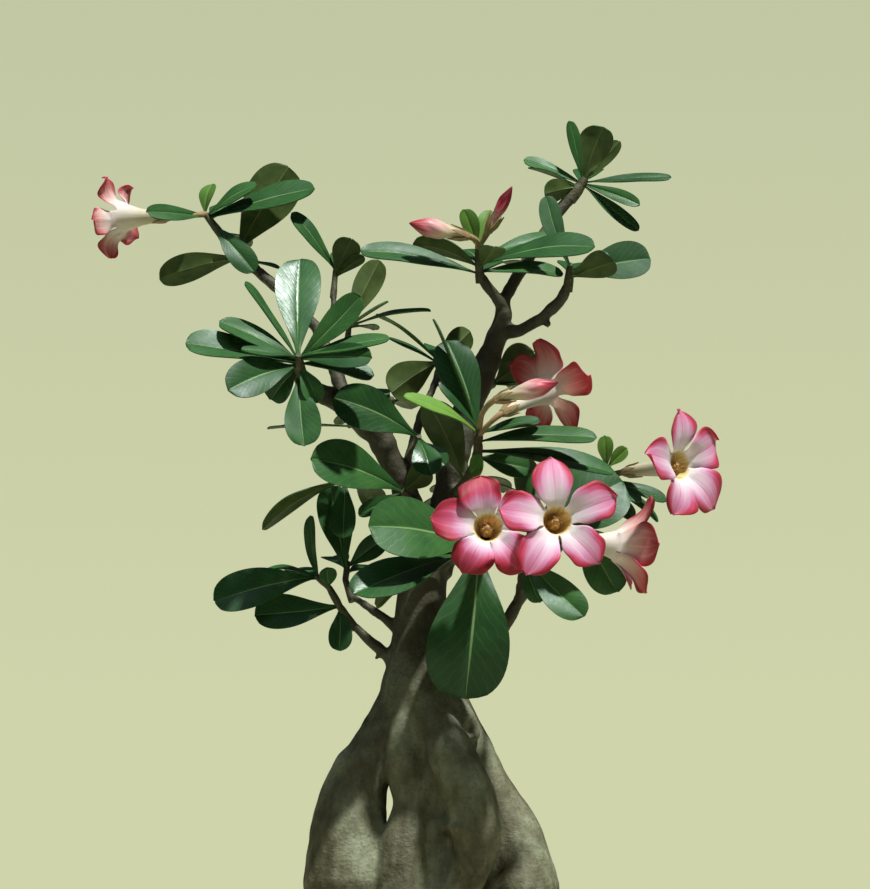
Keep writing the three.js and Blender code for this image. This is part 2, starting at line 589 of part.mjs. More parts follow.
// The soil, mounded a little, with a plain hole for each root
function soilSolid() {
  const slope = (innerTop - innerFoot) / (potHeight - rimRound - potFloor);
  const edge = (height) => innerFoot + (height - potFloor) * slope - fitGap * 1.3;
  const floor = potFloor + fitGap;
  const profile = [
    [0, floor],
    [edge(floor), floor],
    [edge(soilHeight), soilHeight],
    [rimRadius * 0.45, soilHeight + soilCrown * 0.8],
    [0, soilHeight + soilCrown],
  ];
  const holes = roots.slice(0, standingRoots).map((stations) => rootTube(stations, fitGap));
  return turned(profile, potSides).subtract(joined(holes));
}

// The old wood in one piece: roots, trunk, branches and the pruned stubs
function woodSolid() {
  const below = roots.map((run) => rootTube(run));
  const above = branches.map((run) => branchTube(run));
  return joined([...below, stem(trunk, 10, 6), ...above]);
}

function outlineFor(wide) {
  if (wide >= broadWidth) return broadLeaf;
  return wide > slimWidth ? leafOutline : slimLeaf;
}

function leafSolid(entry, stations) {
  const top = at(stations[stations.length - 1]);
  const tip = top.add(new THREE.Vector3(entry.dx, entry.dy, entry.dz));
  return blade(below(stations, entry.low), tip, at(faces[entry.face]), {
    outline: outlineFor(entry.wide),
    wide: entry.wide,
    arch: entry.arch,
    fold: entry.wide >= broadWidth ? leafFold : 0,
    thick: leafThickness,
    edge: leafEdge,
  });
}

// Foot and direction of each bloom and bud that a shoot bears
function bornOn(name) {
  const open = blooms.filter((entry) => entry.bearer === name).map((entry) => {
    const axis = at(entry.axis).normalize();
    return { foot: at(entry.mouth).addScaledVector(axis, -entry.tube), axis, low: entry.low };
  });
  const closed = buds.filter((entry) => entry.bearer === name).map((entry) => {
    const axis = at(entry.point).sub(at(entry.foot)).normalize();
    return { foot: at(entry.foot), axis, low: entry.low };
  });
  return [...open, ...closed];
}

// A leafy shoot: young stem, leaves and the stalks of its blooms, cut square where the old wood ends
function shootSolid({ name, stem: stations, leaves }) {
  const parts = [stem(stations, 6, stations.length)];
  for (const entry of leaves) parts.push(leafSolid(entry, stations));
  for (const { foot, axis, low } of bornOn(name)) parts.push(calyx(foot, axis, { stem: stations, low }));
  const woodEnds = branches.filter((run) => at(run[run.length - 1]).distanceTo(at(stations[0])) < 4);
  const cutters = woodEnds.map((run) => branchTube(run, fitGap));
  return cutters.reduce((whole, cutter) => whole.subtract(cutter), joined(parts));
}

// Colours and finishes
const finish = (color, roughness) => new THREE.MeshStandardMaterial({ color, roughness, metalness: 0 });
const clay = finish(0xb5694a, 0.9);
const earth = finish(0x3d2c20, 1);
const bark = finish(0x7d7864, 0.85);
const green = finish(0x3e6b41, 0.4);
const pink = finish(0xe0718f, 0.6);

const plant = new THREE.Group();
plant.add(meshOf("pot", potSolid(), clay));
plant.add(meshOf("soil", soilSolid(), earth));
plant.add(meshOf("wood", woodSolid(), bark));
for (const entry of shoots) plant.add(meshOf(entry.name, shootSolid(entry), green));
for (const entry of blooms) plant.add(meshOf(entry.name, corolla(entry), pink));
for (const entry of buds) plant.add(meshOf(entry.name, budSolid(entry), pink));

export default plant;
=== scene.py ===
import random
from collections import namedtuple
from functools import partial
from math import copysign, cos, exp, hypot, pi, radians, sin, sqrt, tan
from random import uniform

import bpy
from mathutils import Matrix, Vector, noise


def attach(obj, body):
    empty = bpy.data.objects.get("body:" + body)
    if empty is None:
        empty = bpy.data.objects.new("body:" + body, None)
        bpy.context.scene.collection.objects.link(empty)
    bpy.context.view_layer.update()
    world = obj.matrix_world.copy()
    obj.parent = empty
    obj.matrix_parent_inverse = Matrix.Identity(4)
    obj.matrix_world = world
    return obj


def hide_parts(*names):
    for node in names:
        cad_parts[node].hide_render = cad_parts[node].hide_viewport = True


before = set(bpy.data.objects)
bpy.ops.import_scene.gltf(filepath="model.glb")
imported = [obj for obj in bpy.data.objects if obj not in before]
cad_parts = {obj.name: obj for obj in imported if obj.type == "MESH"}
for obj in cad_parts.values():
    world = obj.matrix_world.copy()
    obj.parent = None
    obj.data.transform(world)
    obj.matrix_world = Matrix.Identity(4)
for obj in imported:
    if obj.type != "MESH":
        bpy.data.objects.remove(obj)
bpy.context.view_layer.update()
random.seed(41)

MM = 0.001
FULL_TURN = 2 * pi

# Pot and soil
POT_HEIGHT = 112
RIM_RADIUS = 112
RIM_BAND = 20
RIM_STEP = 5
FOOT_RADIUS = 80
POT_WALL = 7
POT_FLOOR = 9
POT_EDGE = 1.8
POT_SIDES = 128
DRAIN_RADIUS = 6
DRAIN_CIRCLE = 42
DRAIN_HOLES = 4
SOIL_HEIGHT = 98
SOIL_CROWN = 5
SOIL_RADIUS = 98.5
SOIL_TOP_SHARE = 0.94
STONES = 1500

# Wood, leaves and blooms
WOOD_VOXEL = 1.2
LEAF_THICKNESS = 0.6
PETAL_THICKNESS = 0.45
PETAL_COUNT = 5
TUBE_SHARE = 0.4
THROAT_RADIUS = 7.2
TUBE_BASE_RADIUS = 2.3
STALK_RADIUS = 1.3
SEAM_GAP = 0.01
SAME_POINT = 0.0005

# Faces across and along each sheet
LEAF_GRID = (12, 22)
SEPAL_GRID = (4, 8)
PETAL_GRID = (16, 44)
CONE_GRID = (30, 10)
BUD_GRID = (40, 36)
SOIL_GRID = (150, 60)

# Studio: the sun's way, and the view
KEY_WAY = (-0.24, 0.26, -0.93)
SOFT_WAY = (0.7, 0.8, -2.15)
PIXEL = 0.5
PICTURE_HEIGHT = 889
VIEW_MIDDLE = 367.75
VIEW_DISTANCE = 3.5
SENSOR = 36

# Outlines, as shares of the length and of the full half-width there
LEAF_OUTLINE = [(0, 0.1), (0.07, 0.11), (0.16, 0.24), (0.3, 0.5), (0.45, 0.78), (0.58, 0.95),
                (0.68, 1), (0.78, 0.98), (0.87, 0.87), (0.94, 0.67), (0.98, 0.43), (1, 0.04)]
PETAL_OUTLINE = [(0, 0.4), (0.06, 0.52), (0.12, 0.64), (0.25, 0.82), (0.4, 0.95), (0.54, 1),
                 (0.68, 0.98), (0.8, 0.85), (0.89, 0.62), (0.96, 0.3), (1, 0.03)]
BUD_OUTLINE = [(0, 0.0), (0.02, 0.42), (0.14, 0.47), (0.28, 0.66), (0.42, 0.9), (0.56, 1.0),
               (0.68, 0.96), (0.8, 0.7), (0.9, 0.4), (0.97, 0.16), (1, 0.0)]

# Which way the upper side of a leaf looks
FACES = {
    "front": (0, -0.92, 0.38),
    "slant": (0, -0.6, 0.8),
    "sunlit": (0.15, -0.8, 0.59),
    "up": (0, -0.12, 1),
    "under": (0, 0.6, 0.8),
    "back": (0.1, 0.95, 0.3),
    "left": (-0.85, -0.3, 0.4),
    "right": (0.85, -0.3, 0.4),
    "frontRight": (0.5, -0.76, 0.42),
    "frontLeft": (-0.6, -0.8, 0.1),
    "edgeLeft": (-0.9, 0.05, 0.43),
    "edgeRight": (0.9, 0.05, 0.43),
}

# Rows. A stem is stations of x, y, z and radius. A leaf's tip is given from its shoot's tip, and
# its foot lies `low` below that tip. Arch and lean are degrees; youth, shine and blush are looks.
shoot = namedtuple("shoot", "name stem leaves")
leaf = namedtuple("leaf", "dx dy dz wide face arch low youth shine", defaults=(0, 0))
bloom = namedtuple("bloom", "name mouth axis turn reach breadth lean tube bearer low blush",
                   defaults=(0, 0))
bud = namedtuple("bud", "name foot point radius bearer low blush", defaults=(0, 0))


# Old wood, then the shoots, blooms and buds, as in the part's source
ROOTS = [
    [[-9, 0, 262, 9], [-26, -2, 220, 13], [-38, -4, 200, 15.2], [-42.5, -6, 176, 19.7],
        [-43.5, -8, 150, 22.5], [-43, -8, 126, 19], [-41, -8, 108, 13], [-39, -8, 84, 9]],
    [[-9, -3, 262, 9], [-15, -14, 210, 11], [-11.5, -17, 189, 9.5], [-15, -20, 165, 13.5],
        [-17, -23, 142, 13], [-17, -26, 120, 10.5], [-17, -27, 84, 7]],
    [[-5, -4, 262, 9], [-3, -14, 210, 9], [-1, -16, 180, 9], [0, -19, 155, 9.5],
        [2, -25, 125, 9.5], [2, -30, 84, 6.5]],
    [[-5, -4, 262, 8], [0, -16, 235, 8.5], [7, -21, 216, 12], [15.5, -26, 196, 13.5],
        [20, -29, 177, 13.5], [18, -28, 160, 11], [13, -25, 145, 10], [12, -26, 125, 9],
        [12, -28, 84, 7]],
    [[0, 2, 260, 8], [19, 4, 212, 11], [29, 3, 190, 13], [38, 2, 168, 17], [42, 0, 146, 21],
        [43, -1, 125, 19], [41, -2, 106, 14], [40, -2, 84, 9]],
    [[-6, 3, 262, 9], [-6, 21, 205, 12], [-9, 29, 180, 12.5], [-18, 33, 150, 15],
        [-22, 33, 122, 13], [-23, 33, 84, 8]],
    [[0, 3, 262, 9], [12, 21, 205, 12], [20, 28, 175, 14], [23, 30, 145, 14], [20, 33, 118, 11],
        [19, 34, 84, 7]],
    [[9, -5, 243, 3], [15.5, -8, 232, 4.8], [18.5, -7, 221, 4]],
]
TRUNK = [[-4, 1, 205, 22], [-5.5, 0, 226, 23], [-7.5, 0, 242, 20.5], [-7, 0, 258, 17.5],
    [-7, 0, 278, 13.5], [-6, 0, 298, 12], [-3, 1, 314, 11.5]]
BRANCHES = [
    [[-5, 0, 304, 10.5], [-10, 2, 326, 7.7], [-16, 3, 348, 6.8], [-27, 0, 370, 6.3],
        [-40, -8, 384, 5.6], [-52, -17, 391.5, 5.1], [-62, -25, 395.5, 4.5],
        [-65.5, -28, 398.5, 4]],
    [[-2, 1, 304, 11], [5, 5, 328, 9.5], [9, 9, 358, 7.7], [15, 12, 382, 7.2], [24, 12, 402, 6.7],
        [30, 10, 419, 5.6], [34, 8, 432, 4.6], [34.5, 8, 443, 3.4]],
    [[34, 7, 437, 3.3], [28, 3, 445, 3], [22.5, 0, 452, 2.7]],
    [[34.5, 8, 440, 3.4], [43, 16, 455, 2.9], [55, 26, 474, 2.8], [63.5, 32, 487, 3.3],
        [70, 34, 494, 3.3]],
    [[32, 9, 424, 4.1], [42, 4, 424.5, 3.4], [53.5, -2, 431, 3], [63, -6, 440, 3],
        [66.5, -8, 447.5, 2.5]],
    [[54, -2, 431, 1.6], [57, -4, 427, 2]],
    [[-44, -8, 389, 4.1], [-51, 4, 408, 3.4], [-59, 15, 426, 3.1], [-76.5, 24, 444, 3],
        [-92.5, 30, 458, 2.6]],
    [[-56, 10, 418, 2.5], [-51, 19, 430, 2.1], [-51, 26, 445, 1.8]],
    [[-52, 3, 406, 2.1], [-46, 6, 416, 1.8], [-43.5, 6, 423, 1.6]],
    [[-14, 3, 340, 3.7], [-13, 14, 360, 3.1], [-7, 26, 382, 2.5], [1, 35, 401, 2]],
    [[8, 8, 338, 4.1], [13, -6, 346, 3]],
    [[-2, -2, 303, 4.1], [7, -9, 310.5, 2.6]],
    [[4, 4, 244, 6.3], [21, 8, 258, 4], [32, 8, 272, 3.5], [40, 6, 286, 3.2], [47, 3, 297, 2.9],
        [55, 0, 308, 2.5]],
    [[41, 6, 287, 2.8], [43.5, -1, 299, 2.4]],
    [[-13, 0, 250, 4.9], [-26, 2, 264, 3], [-34.5, 4, 271, 2.5], [-41.5, 5, 278, 2.1]],
    [[-27, 1, 264, 1.6], [-30, 0, 260, 1.2]],
    [[-9, 1, 266, 4.1], [-23, 6, 279, 2.5], [-33, 10, 286, 2.1], [-42.5, 14, 292, 1.9]],
    [[-12, 3, 344, 3.3], [-24, 10, 350, 2.1]],
    [[-12, 2, 337, 3.7], [-14, -8, 342, 2.4]],
    [[-37, -5, 383, 2.5], [-41, 3, 379.5, 1.8]],
    [[22, 12, 398, 3.3], [27, 24, 397, 2.3]],
    [[-25, 2, 366, 3.3], [-23, 16, 378, 2.3]],
    [[7, 8, 348, 3.3], [15, 24, 350, 2.3]],
    [[-13.5, 10, 356, 2.5], [-12, 0, 362, 2.1]],
    [[4, -25, 179, 2.8], [10.5, -40.5, 178.6, 1.4]],
]

SHOOTS = [
    shoot("shoot_upper_left", [[-92.5, 30, 458, 2.7], [-100, 32, 465, 2.6],
        [-106.5, 33, 471.5, 2.3], [-112, 33, 479, 2], [-116, 33, 484, 1.5]], [
        (-28, -24, 1, 9.5, "front", 10, 1), (3, 4, 15.5, 10, "frontLeft", 40, 0, 0.55),
        (26, -8, 15, 12, "slant", 30, 1), (55, -10, 13.5, 21, "slant", 12, 2),
        (42, 4, 24, 26, "back", 15, 25), (-23, -2, -32.5, 15, "back", 16, 29),
        (25, -14, -29, 13, "front", 20, 7), (38, 2, -27, 8, "up", 8, 31),
        (14, 36, 6, 15, "up", 25, 4), (18, 34, -16, 14, "up", 28, 12),
    ]),
    shoot("shoot_left_star", [[-65.5, -28, 398.5, 3.8], [-67, -31, 403.5, 3.3],
        [-67.5, -35, 408.5, 2.6], [-67.5, -37.5, 412, 1.5]], [
        (0, 34, 48, 23, "sunlit", 14, 1, 0, 0.8), (-27, 8, 36, 10, "right", 10, 3),
        (-39, 4, 17, 16, "slant", 26, 3), (-56, 0, 5, 20, "slant", 20, 4),
        (-28, -12, 2.5, 8, "slant", 15, 1), (-34, -22, -17, 20, "front", 14, 6),
        (-14, 8, -22, 14, "front", 20, 7), (3, -10, -45, 18, "front", 12, 11),
        (10, 0, -23, 11, "front", 20, 6), (45, -8, 8.5, 13, "slant", 16, 1),
        (36, -14, -1, 13, "front", 14, 2), (31, -2, 29, 14, "front", 14, 2),
        (44, 8, 27, 10, "edgeLeft", 8, 4), (37, 2, -10, 13, "slant", 20, 5),
        (-16, 30, -4, 15, "up", 25, 6),
    ]),
    shoot("shoot_left_twig", [[-51, 26, 445, 1.8], [-50.5, 28, 451, 1.6], [-50, 28, 457, 1.3]], [
        (-21, -6, 28, 11, "frontRight", 24, 1), (8, -7, 14, 14, "back", 10, 4),
        (14, -3, 6, 8, "under", 15, 5), (4, 28, 8, 13, "up", 25, 4),
    ]),
    shoot("shoot_left_spur", [[-43.5, 6, 423, 1.6], [-43, 6, 428, 1.3]], [
        (15, 10, 32, 14, "back", 12, 1), (41, -6, 6, 10, "up", 28, 1),
        (12, 28, -2, 13, "up", 25, 2),
    ]),
    shoot("shoot_top_centre", [[22.5, 0, 452, 2.5], [22, -1, 458, 2.2], [21.5, -2, 466, 1.5]], [
        (-58, -6, 0.5, 15, "slant", 12, 13), (-32, 6, 2.5, 14, "under", 50, 10),
        (57, -22, 2, 18, "slant", 18, 8), (43, 12, -11, 11, "slant", 14, 12),
        (38, 16, 7, 11, "slant", 20, 5), (-7, -4, 19, 9, "front", 10, 1, 0.8),
        (6, 6, 19, 9, "front", 10, 1, 0.8), (8, -22, 0, 13, "under", 30, 10),
        (-8, 42, 0, 16, "up", 25, 9), (18, 36, -6, 15, "up", 25, 12),
    ]),
    shoot("shoot_top_right", [[70, 34, 494, 3.4], [73.5, 35, 498.5, 2.9], [76, 35, 502, 2.1]], [
        (-8, -3, 29, 8, "frontRight", 14, 2), (9, -4, 26, 17, "back", 10, 1),
        (17, 8, 19, 8, "back", 15, 1), (43, -4, 1.5, 8, "slant", 6, 2),
        (27, -10, -13, 7, "front", 24, 3), (27, 4, -26, 7.5, "front", 10, 3),
        (-31, 2, 10, 8.5, "slant", 22, 3), (-29, -11, 5, 9, "up", 15, 5),
        (-21, -14, -8, 12, "back", 20, 5), (4, 38, 5, 15, "up", 25, 4),
        (-16, 28, -4, 13, "up", 25, 6),
    ]),
    shoot("shoot_right_fork", [[66.5, -8, 447.5, 2.5], [67, -9, 452, 2.1], [67.5, -10, 457, 1.5]], [
        (-12, 10, 35, 11, "front", 14, 1, 0, -1), (40, 4, 4, 20, "front", 22, 3, 0, -1),
        (22, -14, 2, 15, "back", 15, 6), (4, 34, 2, 15, "up", 25, 4),
    ]),
    shoot("shoot_centre", [[13, -6, 346, 3], [17, -12, 351, 2.8], [21, -17, 360, 2.6],
        [21.5, -20, 369, 2.3], [22, -22, 376, 1.6]], [
        (-16, 12, 44, 21, "front", 14, 2), (-18, 4, 25, 13, "sunlit", 12, 1, 0, 1),
        (-38, -18, 15, 11, "slant", 40, 3, 1), (-25, 12, 13, 19, "back", 10, 31),
        (1, -8, -16, 11, "front", 20, 29, 0.4, 1), (30, -4, 4, 9, "slant", 24, 3),
        (58, -8, -6, 16, "slant", 32, 7), (67, 4, -22, 16, "slant", 32, 12),
        (25, 10, -20, 14, "front", 20, 15), (-23, 6, 54, 10, "edgeRight", 8, 3),
    ]),
    shoot("shoot_rear_centre", [[1, 35, 401, 2], [2, 37, 406, 1.7], [2.5, 38, 412, 1.3]], [
        (-25, -4, -18, 19, "back", 30, 2), (-31, 0, 23, 10, "edgeRight", 10, 2),
        (-27, 10, 10, 9, "up", 12, 3), (15, 10, 13, 14, "back", 15, 2),
        (-2, 36, 6, 15, "up", 25, 3), (22, 30, -6, 14, "up", 25, 4),
    ]),
    shoot("shoot_rear_right", [[27, 24, 397, 2.2], [29, 31, 398, 1.9], [30, 36, 400, 1.4]], [
        (20, -4, 14, 22, "back", 15, 3), (16, 30, -6, 15, "up", 30, 2),
        (34, 14, -10, 15, "up", 28, 4),
    ]),
    shoot("shoot_front_right", [[43.5, -1, 299, 2.4], [44.5, -5, 311, 2.3], [48, -8, 322, 2.1],
        [48, -11, 329, 1.5]], [
        (46, 12, 21, 38, "front", 18, 3), (2, 10, 26, 12, "left", 15, 3),
        (26, -8, -47, 18, "front", 16, 19), (4, 4, -40, 11, "front", 16, 20),
        (-3, 22, 32, 14, "back", 12, 4), (10, 38, -2, 15, "up", 25, 12),
    ]),
    shoot("shoot_right_low", [[55, 0, 308, 2.5], [67, -3, 322, 2.4], [76, 0, 335, 2.2],
        [83, 6, 347, 2], [86, 8, 356, 1.4]], [
        (-1, -4, 16, 8, "front", 12, 0, 0.9), (10, -4, 10, 7, "front", 12, 0, 0.9),
        (30, 0, -16, 9, "slant", 16, 6), (17, -8, -16, 8, "slant", 16, 9),
        (26, 6, -27, 9, "right", 40, 9), (14, 2, -25, 8, "front", 20, 12),
        (5, -8, -62, 20, "front", 14, 32), (14, 34, -4, 14, "up", 25, 8),
        (-14, 32, -12, 14, "up", 25, 16), (2, 30, -46, 15, "up", 28, 34),
    ]),
    shoot("shoot_low_front", [[7, -9, 310.5, 2.6], [16, -15, 315, 2.2], [22, -16, 318, 1.6]], [
        (-53, -38, 10.5, 33, "front", 18, 1), (-62, -38, -24, 26, "slant", 25, 12, 0, 0.6),
        (-53, -16, -28, 16, "under", 25, 14), (-7, -12, -76, 41, "front", 42, 0),
    ]),
    shoot("shoot_left_mid", [[-14, -8, 342, 2.3], [-16, -13, 345, 1.6]], [
        (-45, -26, 16, 25, "front", 16, 1, 0, 0.6), (13, 2, 11, 13, "back", 15, 1),
        (-22, 2, -12, 8, "front", 16, 2),
    ]),
    shoot("shoot_centre_spur", [[-12, 0, 362, 2.1], [-9, -7, 368, 1.8], [-8, -11, 372, 1.4]], [
        (-42, -14, 19, 23, "front", 25, 1, 0, 0.6), (6, -14, -19, 15, "front", 20, 1, 0, 1),
        (13, -9, -14, 11, "front", 20, 3),
    ]),
    shoot("shoot_left_under", [[-41, 3, 379.5, 1.8], [-43, 9, 377, 1.3]], [
        (-41, 2, -1, 11, "up", 10, 1), (19, 16, -8, 12, "under", 20, 1),
        (14, 30, -6, 14, "up", 28, 1),
    ]),
    shoot("shoot_lowest_left", [[-41.5, 5, 278, 2.1], [-48, 6, 287, 1.9], [-53, 6, 296, 1.7],
        [-60, 5, 302, 1.3]], [
        (-50, -8, -13, 21, "front", 30, 1), (-30, -6, -19, 18, "front", 10, 20),
        (12, -6, -37, 12, "front", 10, 20), (-25, 8, 4, 9, "up", 28, 2),
        (-2, 4, 30, 17, "left", 24, 2), (6, -10, 4, 9, "front", 15, 9),
        (-12, 30, 2, 14, "up", 28, 5),
    ]),
    shoot("shoot_low_left", [[-42.5, 14, 292, 1.9], [-45, 17, 300, 1.7], [-44, 20, 309, 1.3]], [
        (19, -6, 12, 12, "front", 15, 3), (-9, 0, 38, 18, "front", 15, 6),
        (-8, 32, 2, 14, "up", 28, 4), (18, 26, -4, 14, "up", 28, 6),
    ]),
    shoot("shoot_mid_left", [[-24, 10, 350, 2.1], [-36, 14, 351, 1.9], [-46, 14, 350, 1.4]], [
        (0, -9, -29, 13, "front", 12, 1), (-41, -4, -24, 13, "under", 28, 1),
        (-4, 32, 4, 15, "up", 28, 2), (16, 30, -14, 14, "up", 28, 8),
    ]),
    shoot("shoot_rear_left", [[-23, 16, 378, 2.2], [-22, 26, 385, 1.9], [-22, 34, 391, 1.4]], [
        (-16, 30, 4, 15, "up", 28, 2), (10, 34, -4, 15, "up", 28, 3),
        (-28, 12, -12, 15, "up", 28, 5),
    ]),
    shoot("shoot_rear_low", [[15, 24, 350, 2.2], [18, 32, 350, 1.9], [19, 38, 351, 1.4]], [
        (-18, 30, -8, 15, "up", 28, 3), (16, 34, -6, 15, "up", 28, 2),
        (30, 14, -14, 15, "up", 28, 5), (-28, 10, -20, 15, "up", 28, 6),
    ]),
]

BLOOMS = [
    bloom("bloom_far_left", [-157.8, 42, 482.6], [-0.83, 0.55, 0], 26, 23, 0.64, 12, 27,
        "shoot_upper_left", 0, -0.05),
    bloom("bloom_front_left", [26, -56, 327], [0.04, -0.98, 0.2], -8, 28.5, 0.74, 0, 31,
        "shoot_low_front", 0, 0.3),
    bloom("bloom_front_right", [60, -70, 330.5], [0.2, -0.95, 0.2], -4, 32, 0.64, 0, 35,
        "shoot_front_right"),
    bloom("bloom_turned_away", [56, -3, 395], [0.66, 0.67, 0.34], -7, 29, 0.62, 0, 32,
        "shoot_centre", 4, 0.08),
    bloom("bloom_far_right", [122, -17, 357.5], [0.75, -0.65, 0.1], -8, 30.5, 0.7, 8, 34,
        "shoot_right_low", 4),
    bloom("bloom_low_right", [90, -16, 317.5], [0.95, 0.2, -0.13], -6, 32, 0.68, 38, 25,
        "shoot_right_low", 42),
]

BUDS = [
    bud("bud_top_left", [14.5, -10, 472], [-13, -15, 478], 4.9, "shoot_top_centre"),
    bud("bud_top_right", [27.5, -9, 476], [38.5, -12, 496.5], 3, "shoot_top_centre", 0, 0.35),
    bud("bud_centre", [32, -36, 390.5], [61, -39, 398.5], 4.8, "shoot_centre"),
]


# Materials
def linear(code):
    """An sRGB hex value as a linear colour."""
    shares = [int(code[i:i + 2], 16) / 255 for i in (0, 2, 4)]
    return [c / 12.92 if c <= 0.04045 else ((c + 0.055) / 1.055) ** 2.4 for c in shares] + [1.0]


def per_metre(size):
    """How often a pattern of this size in millimetres fits in a metre."""
    return 1 / (size * MM)


def assign(thing, settings):
    for name, value in settings.items():
        setattr(thing, name, value)


def feed(node, inputs):
    """Give a node its inputs, by name or in order: numbers, hex colours, nodes or sockets."""
    if isinstance(inputs, dict):
        sockets, inputs = [node.inputs[name] for name in inputs], inputs.values()
    else:
        sockets = [socket for socket in node.inputs if socket.enabled]
    for socket, value in zip(sockets, inputs):
        if isinstance(value, bpy.types.Node):
            value = next(output for output in value.outputs if output.enabled)
        if isinstance(value, bpy.types.NodeSocket):
            node.id_data.links.new(value, socket)
        else:
            socket.default_value = linear(value) if isinstance(value, str) else value


def add_node(tree, kind, inputs=(), stops=(), **settings):
    """Add one node with its settings, its inputs and, on a colour ramp, its stops.

    In order, a MapRange takes a value, its low and high, and theirs; a TexNoise takes a place,
    scale, detail and roughness. A Math node adds unless its settings say otherwise.
    """
    node = tree.nodes.new("ShaderNode" + kind)
    assign(node, settings)
    if stops:
        elements = node.color_ramp.elements
        for _ in stops[len(elements):]:
            elements.new(0.5)
        for element, (position, code) in zip(elements, stops):
            element.position = position
            element.color = linear(code)
    feed(node, inputs)
    return node


def material(name, pattern, depth, strength, ior, **constants):
    """A material: its pattern's colour, dents and roughness, and its shader's constants."""
    made = bpy.data.materials.new(name)
    made.use_nodes = True
    add = partial(add_node, made.node_tree)
    colour, height, roughness = pattern(add)
    shader = made.node_tree.nodes["Principled BSDF"]
    feed(shader, {key.replace("_", " "): value for key, value in constants.items()})
    feed(shader, {"Base Color": colour, "Roughness": roughness, "IOR": ior})
    if depth:
        feed(shader, {"Normal": add("Bump", {"Height": height, "Distance": depth * MM,
                                             "Strength": strength})})
    return made


def on_sheet(add):
    """A sheet's map, its tone, and at a place the distance from its midrib and from its foot."""
    uv = add("UVMap", uv_map="UVMap")
    place = add("SeparateXYZ", [uv])
    across = add("Math", [place.outputs["X"], 0.5], operation="SUBTRACT")
    tone = add("Attribute", attribute_name="tone").outputs["Fac"]
    return uv, tone, add("Math", [across], operation="ABSOLUTE"), place.outputs["Y"]


def fibres(add, uv, fine, long, shift):
    """Fine streaks along a petal, and the shift in its colour that they make."""
    streak = add("Mapping", {"Vector": uv, "Scale": (fine, long, 1)})
    fibre = add("TexNoise", [streak, 1, 3])
    return fibre, add("MapRange", [fibre, 0.3, 0.7, -shift, shift])


def leaf_upper(add):
    """Living leaf, upper side: waxy cuticle over dark green tissue, glossy, with a pale midrib."""
    spot = add("TexCoord").outputs["Object"]
    _, tone, aside, along = on_sheet(add)
    youth, shine = (add("Attribute", attribute_name=name).outputs["Fac"]
                    for name in ("youth", "shine"))
    mottle = add("TexNoise", [spot, per_metre(11), 3, 0.55])
    shade = add("MapRange", [mottle, 0.3, 0.7, -0.2, 0.2])
    depth = add("Math", [tone, shade])
    old = add("ValToRGB", [depth], [(0, "1f4221"), (0.5, "2b5529"), (1, "3d6c34")])
    young = add("ValToRGB", [depth], [(0, "588734"), (1, "749f43")])
    lamina = add("Mix", [youth, old, young], data_type="RGBA")
    # The side veins run forward from the midrib, 11 to a leaf, and wander a little
    forward = add("Math", [aside, -0.62, along], operation="MULTIPLY_ADD")
    wobble = add("TexNoise", [spot, per_metre(6), 2, 0.55])
    drift = add("Math", [forward, 11, wobble], operation="MULTIPLY_ADD")
    wave = add("Math", [drift, 0.5], operation="PINGPONG")
    vein = add("MapRange", [wave, 0, 0.13, 0.09, 0], interpolation_type="SMOOTHSTEP")
    veined = add("Mix", [vein, lamina, "7d9c5e"], data_type="RGBA")
    taper = add("MapRange", [along, 0, 1, 0.045, 0.006])
    near_rib = add("Math", [aside, taper], operation="DIVIDE")
    rib = add("MapRange", [near_rib, 0.6, 1.3, 0.65, 0])
    ribbed = add("Mix", [rib, veined, "8fae74"], data_type="RGBA")
    dull = add("MapRange", [wobble, 0, 1, 0.36, 0.54])
    gloss = add("Math", [shine, -0.15, dull], operation="MULTIPLY_ADD")
    skin = add("Math", [mottle, vein], operation="SUBTRACT")
    return ribbed, skin, gloss


def leaf_under(add):
    """Living leaf, underside: paler olive, satin, with the midrib raised and no veins."""
    spot = add("TexCoord").outputs["Object"]
    _, _, aside, _ = on_sheet(add)
    mottle = add("TexNoise", [spot, per_metre(7), 3, 0.55])
    lamina = add("ValToRGB", [mottle], [(0.3, "3c4f26"), (0.7, "50662f")])
    rib = add("MapRange", [aside, 0.012, 0.03, 0.8, 0])
    ribbed = add("Mix", [rib, lamina, "75854f"], data_type="RGBA")
    return ribbed, add("Math", [rib, mottle]), 0.5


def young_bark(add):
    """Young shoot bark: grey brown skin still green in places, satin; its rings are modelled."""
    spot = add("TexCoord").outputs["Object"]
    flat = add("Mapping", {"Vector": spot, "Scale": (1, 1, 1 / 0.6)})
    mottle = add("TexNoise", [spot, per_metre(4), 4, 0.6])
    grain = add("TexNoise", [flat, per_metre(1.3), 3, 0.6])
    base = add("ValToRGB", [mottle], [(0.25, "342f21"), (0.5, "474631"), (0.75, "5d6540")])
    tint = add("ValToRGB", [grain], [(0.3, "38331f"), (0.7, "696b50")])
    mixed = add("Mix", [0.35, base, tint], data_type="RGBA")
    return mixed, add("Math", [mottle, grain]), 0.55


